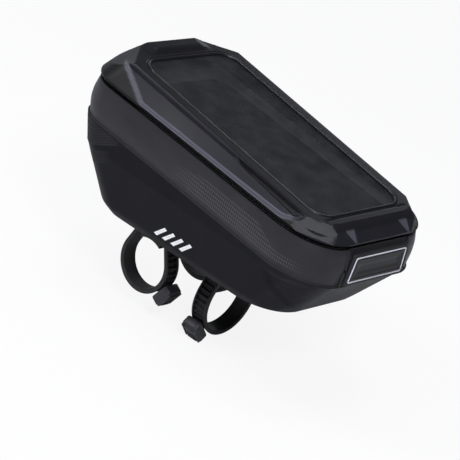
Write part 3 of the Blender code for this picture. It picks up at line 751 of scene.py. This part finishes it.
def label_line(grow, y, radius=0.0012, steps=5):
    """Rounded outline of the label's trapezium."""
    top, low = LABEL_TOP + grow, LABEL_TOP - LABEL_HEIGHT - grow
    top_half, low_half = LABEL_TOP_HALF + grow, LABEL_LOW_HALF + grow
    corners = [(-top_half, top), (-low_half, low), (low_half, low), (top_half, top)]
    line = []
    for i, (cx, cz) in enumerate(corners):
        before, after = corners[i - 1], corners[(i + 1) % 4]
        a = Vector((before[0] - cx, before[1] - cz)).normalized() * radius
        b = Vector((after[0] - cx, after[1] - cz)).normalized() * radius
        for k in range(steps + 1):
            t = k / steps
            px = cx + a.x * (1 - t) ** 2 + b.x * t ** 2
            pz = cz + a.y * (1 - t) ** 2 + b.y * t ** 2
            line.append((px, y, pz))
    return line


def build_label():
    """Bare patch with a stepped face, its silver piping and the sewn border outside it."""
    y_back = REAR_Y - PANEL_OUT - GAP * 0.2
    steps = [(0.0, 0.0), (0.0, -0.0007), (-0.0004, -0.0010), (-0.0014, -0.0010), (-0.0018, -0.0007),
             (-0.0040, -0.0007), (-0.0044, -0.0005), (-0.0062, -0.0005)]
    grid = np.array([label_line(grow, y_back + out) for grow, out in steps])
    mesh = grid_mesh("label_patch_face", grid, caps=True, uv=arc_uv(grid), split=25)
    piece("label_patch_face", mesh, LABEL_MAT, "bag", ("label_patch",))
    bm = tube(label_line(0.0007, y_back - 0.0006), 0.00042, 8, closed=True)
    mesh = bm_mesh("label_piping_edge", bm, 60)
    piece("label_piping_edge", mesh, PIPING_MAT, "bag", ("label_piping",))
    steps = [(0.0032, 0.0008), (0.0030, -0.0001), (0.0024, -0.0004), (0.0014, -0.0004), (0.0010, 0.0003)]
    grid = np.array([label_line(grow, y_back + out, 0.002) for grow, out in steps])
    piece("label_border", grid_mesh("label_border", grid, uv=arc_uv(grid), split=60), WELT_MAT, "bag")


# Lid: rows of its outer grid, then its forms, in metres
LID_LIP = 0.0020
SIDE_TOP, BLOCK_FIRST, TOP_FIRST, TOP_LAST = 37, 36, 39, 52
LID_SPLIT = 11
FLANK_X = 0.0400
PANEL_SINK = 0.0011
SKIRT_DRAW = 0.0016
HIGH_FACET_SINK = 0.0009
LINE_Y, LINE_SINK = -0.0962, 0.0005
LEDGE_Y, LEDGE_RISE = -0.0966, 0.0007
# Blocks in front of the window: half width, its slope, rear and front edges, their slopes, height
BLOCKS = ((0.0285, 0.007, 0.0632, 0.0752, 0.0020, 0.0014, 0.0016),
          (0.0215, 0.0015, 0.0655, 0.0735, 0.0010, 0.0010, 0.0008))
REAR_FACE_Y, REAR_FACE_PUSH = -0.0950, 0.0030
# Flat facets at the corners: facing, and a point on the plane
CORNER_FACETS = (((0.371, 0.332, 0.867), (0.0275, 0.0728, 0.1012)),
                 ((0.633, -0.552, 0.542), (0.0450, -0.0987, 0.0676)),
                 ((0.36, -0.82, 0.44), (0.0345, -0.1085, 0.0668)))
REAR_FACET = ((0.0, -0.56, 0.83), (0.0, -0.1018, 0.0720))
NOTCH_X, NOTCH_HALF, NOTCH_FOOT, NOTCH_TOP, NOTCH_SINK = 0.0255, 0.0040, 0.0030, 0.0082, 0.0006


def panel_distance(y, h):
    """Signed distance in metres into the sunken side panel, from its front and lower edges."""
    lower = 0.0050 + 0.0022 * until(y, -0.076, 0.012) + 0.0038 * until(y, -0.086, 0.009)
    front = ((y - 0.038) * -10 + (h - 0.0050) * 22.5) / 24.62
    return np.minimum(h - lower, front)


class LidOutside:
    """The lid's outer grid, the places of its points before it is formed, and the painted highlight and
    painted shade that its material reads.
    """

    def __init__(self):
        self.grid = sweep([
            (ring(BODY, 0.0004, above(LID_LIP)), 2),
            (ring(BODY, 0.0010, above(LID_LIP + 0.0004)), 3),
            (ring(BODY, 0.0010, above(0.0032)), 2),
            (ring(BODY, 0.0009, above(0.0038)), 30),
            (ring(FRAME, 0.0014, below_top(0.0012)), 2),
            (ring(FRAME, 0.0003, below_top(0.0001)), 1),
            (ring(FRAME, -0.0008, below_top(0.0)), 10),
            (ring(WINDOW, 0.0022, below_top(0.0)), 2),
            (ring(WINDOW, 0.0013, below_top(0.0006)), 1),
            (ring(WINDOW, 0.0012, below_top(0.0021)), 1),
            (ring(WINDOW, 0.0012, below_top(0.0024)), 1),
        ])
        normal = grid_normals(self.grid)
        self.normal = normal * np.sign(normal[SIDE_TOP, :, 2].mean())
        self.x, self.y = self.grid[..., 0].copy(), self.grid[..., 1].copy()
        self.h = self.grid[..., 2] - groove(self.y)
        self.share = (self.h - LID_LIP) / (lid_top(self.y) - groove(self.y) - LID_LIP)
        self.row = np.arange(len(self.grid))[:, None] * np.ones((1, self.grid.shape[1]))
        self.on_side = past(self.row, 4, 2) * until(self.row, 43, 2)
        self.on_top = (self.row >= TOP_FIRST) & (self.row <= TOP_LAST)
        self.flank = past(np.abs(self.x), FLANK_X, 0.004)
        self.highlight_tone = np.zeros(self.x.shape)
        self.shade = np.zeros(self.x.shape)

    def sink(self, depth):
        self.grid = self.grid - self.normal * depth[..., None]

    # Painted shade: the share of the colour that goes to near black
    def paint_shade(self, tone):
        self.shade = np.maximum(self.shade, tone)

    def form_flanks(self):
        """Sunken side panels with a painted highlight on the step along their front and lower edges, and
        painted shade on the skirt below and ahead of them.
        """
        y, h, share = self.y, self.h, self.share
        along = until(y, 0.040, 0.006) * past(y, -0.092, 0.010)
        drawn = along * (self.row <= 6) * SKIRT_DRAW * until(h, 0.0037, 0.0007)
        self.grid[..., 0] -= np.sign(self.x) * drawn
        d = panel_distance(y, h)
        sunk = past(d, -0.0010, 0.0016) * self.flank * past(y, -0.0905, 0.004)
        self.sink(PANEL_SINK * sunk * (1 - past(share, 0.80, 0.18)) * self.on_side)
        # Painted highlight on the step along the panel's front and lower edges
        highlight_tone = past(d, -0.0016, 0.0004) * until(d, 0.0011, 0.0004) * self.flank * past(self.row, 3, 2)
        highlight_tone = highlight_tone * (0.72 + 0.28 * (np.abs(d + 0.0003) > 0.0008))
        self.highlight_tone = highlight_tone * (1 - past(share, 0.86, 0.06)) * past(y, -0.088, 0.006)
        # Painted shade on the skirt below and ahead of the panel
        self.paint_shade(self.flank * until(d, -0.0015, 0.0006) * until(y, 0.075, 0.004) * past(y, -0.092, 0.006))

    def form_high_facets(self):
        """A deeper slanted facet high on each side, toward the rear, with painted shade on it."""
        y, h = self.y, self.h
        lower_edge = 0.0102 + (y + 0.040) * 0.068
        facet = past(h, lower_edge, 0.0008) * smooth(((-0.031 - y) + (h - 0.0125) * 3.2) / 0.0015)
        facet = facet * past(y, -0.0855, 0.002) * (1 - past(self.share, 0.90, 0.05))
        facet = facet * self.flank * self.on_side
        self.sink(HIGH_FACET_SINK * facet)
        # Painted shade on the sunken facet
        self.paint_shade(0.75 * facet)

    def form_top(self):
        """Painted shade on the top face and in a fine sunken line behind the window; a ledge behind the
        window and two blocks ahead of it.
        """
        x, y = self.x, self.y
        # Painted shade on the top face
        self.paint_shade(0.45 * self.on_top * past(self.share, 0.90, 0.05))
        # Painted shade in the fine sunken line behind the window
        line = until(np.abs(y - LINE_Y), 0.0009, 0.0004) * self.on_top * until(np.abs(x), 0.0400, 0.003)
        self.paint_shade(line)
        self.grid[..., 2] -= LINE_SINK * line
        self.grid[..., 2] += LEDGE_RISE * until(y, LEDGE_Y, 0.0008) * self.on_top
        on_block = (self.row >= BLOCK_FIRST) & (self.row <= TOP_LAST)
        for half, slope, rear, front, rear_slope, front_slope, height in BLOCKS:
            wide = np.clip((half - np.abs(x)) / slope, 0, 1)
            deep = np.clip((y - rear) / rear_slope, 0, 1) * np.clip((front - y) / front_slope, 0, 1)
            self.grid[..., 2] += height * wide * deep * on_block

    def form_corners(self):
        """A steeper rear face and flat facets at the corners."""
        steep = until(self.grid[..., 1], REAR_FACE_Y, 0.006) * past(self.row, 5, 3) * (self.row <= 42)
        self.grid[..., 1] -= REAR_FACE_PUSH * steep * smooth(self.share / 0.75)
        above_edge = self.row >= 2
        for side in (-1, 1):
            for facing, point in CORNER_FACETS:
                self.grid = cut(self.grid, mirrored(side, facing), mirrored(side, point), above_edge)
        self.grid = cut(self.grid, *REAR_FACET, above_edge)

    def form_notches(self):
        """Small wedge-shaped notches on the rear face, with a painted highlight on them."""
        for side in (-1, 1):
            tall = self.grid[..., 2] - groove(self.grid[..., 1])
            half = NOTCH_HALF * np.clip((tall - NOTCH_FOOT) / 0.0045, 0, 1)
            wedge = until(np.abs(self.x - side * NOTCH_X), half, 0.0005) * until(tall, NOTCH_TOP, 0.0003)
            wedge = wedge * until(self.y, -0.098, 0.002) * (self.row > 6)
            self.grid[..., 1] += NOTCH_SINK * wedge
            # Painted highlight on the notches
            self.highlight_tone = np.maximum(self.highlight_tone, 0.60 * wedge)


def build_lid():
    outside = LidOutside()
    outside.form_flanks()
    outside.form_high_facets()
    outside.form_top()
    outside.form_corners()
    outside.form_notches()
    inner = sweep([
        (ring(WINDOW, 0.0030, below_top(0.0040)), 2),
        (ring(FRAME, -0.0045, below_top(0.0046)), 4),
        (ring(BODY, -0.0029, above(0.0048)), 2),
        (ring(BODY, -0.0029, above(LID_LIP)), 1),
    ])
    plain = np.zeros(inner.shape[:2])
    grid = np.concatenate((outside.grid, inner))
    # Painted highlight and painted shade for the lid's material
    painted_light = {"painted_highlight": np.concatenate((outside.highlight_tone, plain)), "shade": np.concatenate((outside.shade, plain))}
    mesh = grid_mesh("lid_body", grid, closed_v=True, attributes=painted_light, uv=arc_uv(grid), split=LID_SPLIT)
    piece("lid_body", mesh, LID_MAT, "lid", ("lid_shell",))


def build_window():
    """Clear film and the rubber seal round it."""
    film = [ring(WINDOW, 0.0010, below_top(0.0018)), ring(WINDOW, 0.0010, below_top(0.0012))]
    mesh = grid_mesh("window_clear", np.array(film), caps=True, split=30)
    piece("window_clear", mesh, FILM_MAT, "lid", ("window_film",))
    profile = [(0.0011, 0.0011), (0.0011, 0.0004), (0.0009, 0.0), (0.0005, -0.0002), (0.0, -0.0001),
               (-0.0004, 0.0003), (-0.0005, 0.0008), (-0.0005, 0.0011)]
    grid = np.array([ring(WINDOW, offset, below_top(depth)) for offset, depth in profile])
    mesh = grid_mesh("window_seal_ring", grid, closed_v=True, split=50)
    piece("window_seal_ring", mesh, SEAL_MAT, "lid", ("window_bezel",))


# Inside of the lid
TRAY_CORNER = 0.034
TRAY_MIDDLE = -0.013
ELASTIC_HALF = 0.0070
ELASTIC_TOP, ELASTIC_LOW = -0.0040, -0.0047
ELASTIC_WAVE, ELASTIC_TURN = 0.0002, 1400


def build_lining():
    rows = [(BODY, -0.0042, 0.0), (BODY, -0.0046, 0.0009), (BODY, -0.0060, 0.0012), (WINDOW, 0.0016, 0.0012),
            (WINDOW, 0.0004, 0.0009), (WINDOW, 0.0, 0.0004), (WINDOW, 0.0004, 0.0), (BODY, -0.0060, 0.0)]
    grid = np.array([ring(base, offset, above(rise)) for base, offset, rise in rows])
    mesh = grid_mesh("lid_lining", grid, closed_v=True, uv=arc_uv(grid), split=60)
    piece("lid_lining", mesh, LINING_MAT, "lid", ("lid_liner",))


def build_tray():
    """The padded phone tray; its innermost rings have wider corners, to stay inside it."""
    profile = [(-0.0300, -0.0036), (-0.0120, -0.0035), (-0.0040, -0.0033), (-0.0012, -0.0028),
               (-0.0002, -0.0020), (0.0, -0.0014), (-0.0004, -0.0007), (-0.0016, -0.0003),
               (-0.0080, -0.0003), (-0.0300, -0.0003)]
    middle = PAD[:3] + (TRAY_CORNER,) * 3
    grid = np.array([ring(PAD if offset > TRAY_MIDDLE else middle, offset, above(rise))
                     for offset, rise in profile])
    mesh = grid_mesh("phone_tray", grid, caps=True, uv=arc_uv(grid), split=60)
    tray = piece("phone_tray", mesh, PAD_MAT, "lid", ("phone_pad",))


def build_elastics():
    """Two elastic bands across the tray, slightly waved."""
    rim = ELASTIC_HALF - 0.0002
    middle = ELASTIC_LOW + 0.0004
    section = [(-rim, ELASTIC_TOP), (-ELASTIC_HALF, middle), (-rim, ELASTIC_LOW),
               (rim, ELASTIC_LOW), (ELASTIC_HALF, middle), (rim, ELASTIC_TOP)]
    for name, node in (("tray_elastic_front", "pad_band_front"), ("tray_elastic_rear", "pad_band_rear")):
        low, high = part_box(node)
        y_mid, half = (low[1] + high[1]) / 2, (high[0] - low[0]) / 2
        rows = []
        for x in np.linspace(-half, half, 33):
            wave = ELASTIC_WAVE * math.cos(x * ELASTIC_TURN)
            rows.append([(x, y_mid + dy, groove(y_mid + dy) + dz - wave) for dy, dz in section])
        grid = np.array(rows)
        mesh = grid_mesh(name, grid, caps=True, uv=arc_uv(grid)[..., ::-1], split=40)
        piece(name, mesh, ELASTIC_MAT, "lid", (node,))


# Zip
TAPE_OUT, TAPE_IN = -0.0032, -0.0038
ZIP_SPLIT_RISE = 0.00015
TOOTH_PITCH = 0.0014
TOOTH_LONG, TOOTH_DEEP, TOOTH_BEVEL = 0.0008, 0.0011, 0.0003
TOOTH_PATH = -0.0022


def build_tapes():
    for name, node, low, high, body in (("tape_low", "zip_tape_lower", -0.0120, -ZIP_SPLIT_RISE, "bag"),
                                        ("tape_high", "zip_tape_upper", ZIP_SPLIT_RISE, 0.0030, "lid")):
        profile = [(TAPE_OUT, high), (TAPE_OUT, (low + high) / 2), (TAPE_OUT, low), (TAPE_IN, low),
                   (TAPE_IN, high)]
        strip_piece(name, strip_grid(profile), TAPE_MAT, body, node)


def build_teeth():
    """Single teeth along the band's path; the lid's half is shifted by a quarter pitch."""
    path = band_path(TOOTH_PATH)
    run = np.concatenate(([0.0], np.cumsum(np.linalg.norm(np.diff(path, axis=0), axis=1))))

    def place(s):
        return np.interp(s, run, path[:, 0]), np.interp(s, run, path[:, 1])

    for name, node, low, high, body, lead in (
            ("coil_low", "zip_coil_lower", -0.0018, -ZIP_SPLIT_RISE, "bag", 0.50),
            ("coil_high", "zip_coil_upper", ZIP_SPLIT_RISE, 0.0017, "lid", 0.75)):
        bm = bmesh.new()
        for k in range(int(run[-1] / TOOTH_PITCH)):
            s = (k + lead) * TOOTH_PITCH
            px, py = place(s)
            qx, qy = place(min(s + 0.0003, run[-1]))
            turn = Matrix.Rotation(math.atan2(qy - py, qx - px), 4, "Z")
            tooth = rounded_box((TOOTH_LONG, TOOTH_DEEP, high - low), TOOTH_BEVEL, 1)
            add_bm(bm, tooth, Matrix.Translation((px, py, groove(py) + (low + high) / 2)) @ turn)
        piece(name, bm_mesh(name, bm, 60), COIL_MAT, body, (node,))


# Straps and buckles
BAR_RADIUS, BAR_SEAT, BAR_X, BAR_Y = 0.0159, 0.0020, 0.027, 0.020
STEM_RADIUS, STEM_SEAT, STEM_Y = 0.0200, 0.0045, -0.022
STRAP_TOP_ANGLE = math.radians(68.0)
STRAP_HALF, STRAP_THICK, STRAP_FLOOR_SHARE = 0.0055, 0.0016, 0.72
STRAP_RAIL, STRAP_RAIL_RISE = 0.0014, 0.0013
STRAP_PITCH, STRAP_TOOTH, STEPS_PER_TOOTH, PLAIN_STEPS = 0.0034, 0.0011, 8, 12
BUCKLE_DEPTH, BUCKLE_SINK = 0.0085, 0.0012
BUCKLE_ANGLE_BAR, BUCKLE_ANGLE_STEM = math.radians(122.0), math.radians(132.0)
LEVER_RIBS, LEVER_RIB_PITCH = 4, 0.0016


def strap_path(radius, centre_z):
    """Points (across, z) of a loop: up to the plate on both sides, and round the tube below."""
    top = STRAP_TOP_ANGLE
    end_z = -GAP - STRAP_THICK
    start_y, start_z = radius * math.sin(top), centre_z + radius * math.cos(top)
    run = (end_z - start_z) / math.sin(top)
    end_y = start_y - run * math.cos(top)
    length = 2 * (math.pi - top) * radius + 2 * run
    steps = int(length / STRAP_PITCH) * STEPS_PER_TOOTH
    points = []
    for i in range(steps + 1):
        s = length * i / steps
        t = length - s
        if s < run:
            points.append((end_y + s * math.cos(top), end_z - s * math.sin(top)))
        elif t < run:
            points.append((-end_y - t * math.cos(top), end_z - t * math.sin(top)))
        else:
            turn = top + (s - run) / radius
            points.append((radius * math.sin(turn), centre_z + radius * math.cos(turn)))
    return points


def strap_section(tooth):
    """Half of the section (across, depth) with a rail at the edge; the other half mirrors it."""
    top, floor = STRAP_THICK + STRAP_RAIL_RISE, STRAP_THICK * STRAP_FLOOR_SHARE + tooth
    rail = STRAP_HALF - STRAP_RAIL
    return [(STRAP_HALF - 0.0003, 0.0), (STRAP_HALF, 0.0003), (STRAP_HALF, top - 0.0004),
            (STRAP_HALF - 0.0004, top), (rail + 0.0003, top), (rail, top - 0.0003),
            (rail, floor), (rail - 0.0006, floor + 0.0001)]


def build_strap(name, node, radius, centre_z, centre, along_x):
    points = strap_path(radius, centre_z)
    last = len(points) - 1
    sections = []
    for i, (a, z) in enumerate(points):
        ahead, behind = points[min(i + 1, last)], points[max(i - 1, 0)]
        tangent = Vector((ahead[0] - behind[0], ahead[1] - behind[1])).normalized()
        out = Vector((-tangent.y, tangent.x))
        if out.dot(Vector((a, z - centre_z))) < 0:
            out = -out
        tooth = 0.0
        if PLAIN_STEPS < i < last - PLAIN_STEPS:
            wave = math.sin(2 * math.pi * (i % STEPS_PER_TOOTH) / STEPS_PER_TOOTH)
            tooth = STRAP_TOOTH * float(smooth((wave + 0.35) / 0.7))
        right = strap_section(tooth)
        section = []
        for across, depth in right + [(-across, depth) for across, depth in reversed(right)]:
            b, h = a + out.x * depth, min(z + out.y * depth, -GAP)
            place = (across, b, h) if along_x else (b, across, h)
            section.append(tuple(p + c for p, c in zip(place, centre)))
        sections.append(section)
    mesh = grid_mesh(name, np.array(sections), caps=True, split=40)
    piece(name, mesh, RUBBER_MAT, "bag", (node,))


def build_buckle(name, node, radius, centre_z, centre, turn, along_x):
    """Buckle with a ribbed thumb lever between two cheeks."""
    bm = bmesh.new()
    add_bm(bm, rounded_box((0.0116, 0.0066, 0.0140), 0.0013, 3), Matrix.Translation((0, -0.0006, 0)))
    add_bm(bm, rounded_box((0.0082, 0.0016, 0.0108), 0.0006, 2), Matrix.Translation((0, -0.0040, -0.0010)))
    for k in range(LEVER_RIBS):
        rib = rounded_box((0.0070, 0.0006, 0.0007), 0.00025, 1)
        add_bm(bm, rib, Matrix.Translation((0, -0.0049, -0.0050 + LEVER_RIB_PITCH * k)))
    for side in (-1, 1):
        cheek = rounded_box((0.0014, 0.0040, 0.0120), 0.0006, 2)
        add_bm(bm, cheek, Matrix.Translation((side * 0.0050, -0.0030, 0)))
    seat = radius + STRAP_THICK + STRAP_RAIL_RISE + GAP
    reach = seat + BUCKLE_DEPTH / 2 - BUCKLE_SINK
    across, rise = -reach * math.sin(turn), centre_z + reach * math.cos(turn)
    tilt = Matrix.Rotation(turn - math.pi / 2, 4, "X")
    if along_x:
        bm.transform(Matrix.Translation((centre[0], centre[1] + across, rise)) @ tilt)
    else:
        quarter = Matrix.Rotation(-math.pi / 2, 4, "Z")
        bm.transform(Matrix.Translation((centre[0] + across, centre[1], rise)) @ quarter @ tilt)
    piece(name, bm_mesh(name, bm, 40), PLASTIC_MAT, "bag", (node,))


def build_mount():
    bar, stem = BAR_RADIUS + GAP, STEM_RADIUS + GAP
    bar_z, stem_z = -BAR_SEAT - BAR_RADIUS, -STEM_SEAT - STEM_RADIUS
    for side, x in (("left", -BAR_X), ("right", BAR_X)):
        centre = (x, BAR_Y, 0.0)
        build_strap(f"strap_{side}", f"bar_strap_{side}", bar, bar_z, centre, True)
        build_buckle(f"buckle_{side}", f"bar_buckle_{side}", bar, bar_z, centre, BUCKLE_ANGLE_BAR, True)
    centre = (0.0, STEM_Y, 0.0)
    build_strap("strap_stem", "stem_strap", stem, stem_z, centre, False)
    build_buckle("buckle_stem", "stem_buckle", stem, stem_z, centre, BUCKLE_ANGLE_STEM, False)


# Hinge cloth and the solids that stay
HINGE_HALF = 0.0270
HINGE_THICK = 0.0006
EDGE_BEVEL = 0.0004
EDGE_ANGLE = math.radians(35)


def build_hinge_cloth():
    profile = [(0.0042, -0.0060), (0.0041, -0.0030), (0.0040, -0.0008), (0.0040, 0.0008), (0.0041, 0.0030),
               (0.0043, 0.0034)]
    profile += [(out + HINGE_THICK, rise) for out, rise in reversed(profile)]
    columns = np.linspace(-HINGE_HALF, HINGE_HALF, 31)
    grid = np.array([[(x, REAR_Y + out, groove(REAR_Y) + rise) for out, rise in profile] for x in columns])
    mesh = grid_mesh("hinge_cloth", grid, caps=True, uv=arc_uv(grid), split=60)
    cloth = piece("hinge_cloth", mesh, TAPE_MAT, None)
    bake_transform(cloth)


def dress_cad():
    """Materials and softened edges for the solids that are shown as they are."""
    surfaces = {"base_plate": PLASTIC_MAT, "bar_cradle_left": RUBBER_MAT, "bar_cradle_right": RUBBER_MAT,
                "stem_cradle": RUBBER_MAT, "slider_front": STEEL_MAT, "slider_rear": STEEL_MAT,
                "pull_front": RUBBER_MAT, "pull_rear": RUBBER_MAT}
    surfaces.update({f"base_rivet_{index}": STEEL_MAT for index in (1, 2, 3, 4)})
    for name, surface in surfaces.items():
        obj = NODES[name]
        for slot in obj.material_slots:
            slot.material = surface
        edge = obj.modifiers.new("soft_edge", "BEVEL")
        edge.width = EDGE_BEVEL
        edge.segments = 2
        edge.limit_method = "ANGLE"
        edge.angle_limit = EDGE_ANGLE
        edge.harden_normals = False


# Stage: a white floor and background for the camera, a dim studio for the light that falls on the bag
FLOOR_Z, FLOOR_HALF = -0.0500, 6.0
FLOOR_GLOW = 0.88
STUDIO_LIGHT = 0.16
LAMP_COLOUR = (0.93, 0.94, 1.0)
CAMERA_PLACE = (-1.0076, -0.69893, 0.52599)
CAMERA_RIGHT = Vector((0.6351, -0.7177, 0.2858))
CAMERA_DOWN = Vector((-0.1281, -0.4626, -0.8773))
CAMERA_AHEAD = Vector((0.7618, 0.5205, -0.3857))
FOCAL_PIXELS, PICTURE_PIXELS, SENSOR_MM = 2200, 460, 36.0


def floor_material():
    m = Nodes("floor_white")
    m.value(Base_Color=(0.90, 0.90, 0.90), Roughness=0.9, Specular_IOR_Level=0.0)
    path = m.node("ShaderNodeLightPath")
    glow = m.node("ShaderNodeEmission", Color=(1, 1, 1, 1), Strength=1.0)
    blend = m.node("ShaderNodeMixShader")
    seen = m.math("MAXIMUM", path.outputs["Is Camera Ray"], path.outputs["Is Transmission Ray"])
    m.link(m.math("MULTIPLY", seen, FLOOR_GLOW), blend.inputs[0])
    m.link(m.shader.outputs[0], blend.inputs[1])
    m.link(glow.outputs[0], blend.inputs[2])
    out = [n for n in m.tree.nodes if n.type == "OUTPUT_MATERIAL"][0]
    m.link(blend.outputs[0], out.inputs[0])
    return m.mat


def build_floor():
    mesh = bpy.data.meshes.new("floor")
    corners = [(x * FLOOR_HALF, y * FLOOR_HALF, FLOOR_Z) for x, y in ((-1, -1), (1, -1), (1, 1), (-1, 1))]
    mesh.from_pydata(corners, [], [(0, 1, 2, 3)])
    floor = bpy.data.objects.new("floor", mesh)
    bpy.context.scene.collection.objects.link(floor)
    mesh.materials.append(floor_material())


def build_world():
    world = bpy.data.worlds.new("studio")
    bpy.context.scene.world = world
    world.use_nodes = True
    tree = world.node_tree
    tree.nodes.clear()
    path = tree.nodes.new("ShaderNodeLightPath")
    white = tree.nodes.new("ShaderNodeBackground")
    white.inputs["Color"].default_value = (1, 1, 1, 1)
    white.inputs["Strength"].default_value = 1.0
    dim = tree.nodes.new("ShaderNodeBackground")
    dim.inputs["Color"].default_value = (0.95, 0.97, 1.0, 1)
    dim.inputs["Strength"].default_value = STUDIO_LIGHT
    either = tree.nodes.new("ShaderNodeMath")
    either.operation = "MAXIMUM"
    mix = tree.nodes.new("ShaderNodeMixShader")
    out = tree.nodes.new("ShaderNodeOutputWorld")
    tree.links.new(path.outputs["Is Camera Ray"], either.inputs[0])
    tree.links.new(path.outputs["Is Transmission Ray"], either.inputs[1])
    tree.links.new(either.outputs[0], mix.inputs[0])
    tree.links.new(dim.outputs[0], mix.inputs[1])
    tree.links.new(white.outputs[0], mix.inputs[2])
    tree.links.new(mix.outputs[0], out.inputs[0])


def lamp(name, place, target, size, power):
    data = bpy.data.lights.new(name, "AREA")
    data.energy = power
    data.size = size
    data.color = LAMP_COLOUR
    obj = bpy.data.objects.new(name, data)
    obj.location = place
    obj.rotation_euler = (Vector(target) - Vector(place)).to_track_quat("-Z", "Y").to_euler()
    bpy.context.scene.collection.objects.link(obj)


def build_lights():
    lamp("overhead", (-0.10, 0.00, 1.30), (0, -0.01, 0.05), 0.70, 6.0)
    lamp("front_left", (-0.68, 0.72, 0.95), (0, 0, 0.06), 0.40, 5.5)
    lamp("rear_left", (-0.74, -0.77, 0.98), (0, -0.03, 0.06), 0.34, 10.0)
    lamp("front", (0.35, 1.15, 0.55), (0, 0, 0.05), 0.6, 1.2)
    lamp("right", (1.20, 0.45, 0.30), (0, 0, 0.05), 0.5, 1.2)


def build_camera():
    """The camera as solved from the photograph."""
    data = bpy.data.cameras.new("camera")
    data.sensor_width = SENSOR_MM
    data.lens = FOCAL_PIXELS / PICTURE_PIXELS * SENSOR_MM
    data.clip_start = 0.01
    data.clip_end = 50
    obj = bpy.data.objects.new("camera", data)
    turn = Matrix((CAMERA_RIGHT, -CAMERA_DOWN, -CAMERA_AHEAD)).transposed().to_4x4()
    obj.matrix_world = Matrix.Translation(CAMERA_PLACE) @ turn
    bpy.context.scene.collection.objects.link(obj)
    bpy.context.scene.camera = obj


build_camera()
build_floor()
build_world()
build_lights()
build_shell()
build_bars()
build_band()
build_band_edges()
build_rear_panel()
build_label()
build_lid()
build_window()
build_lining()
build_tray()
build_elastics()
build_tapes()
build_teeth()
build_mount()
build_hinge_cloth()
dress_cad()

bpy.context.scene.view_settings.view_transform = "Standard"
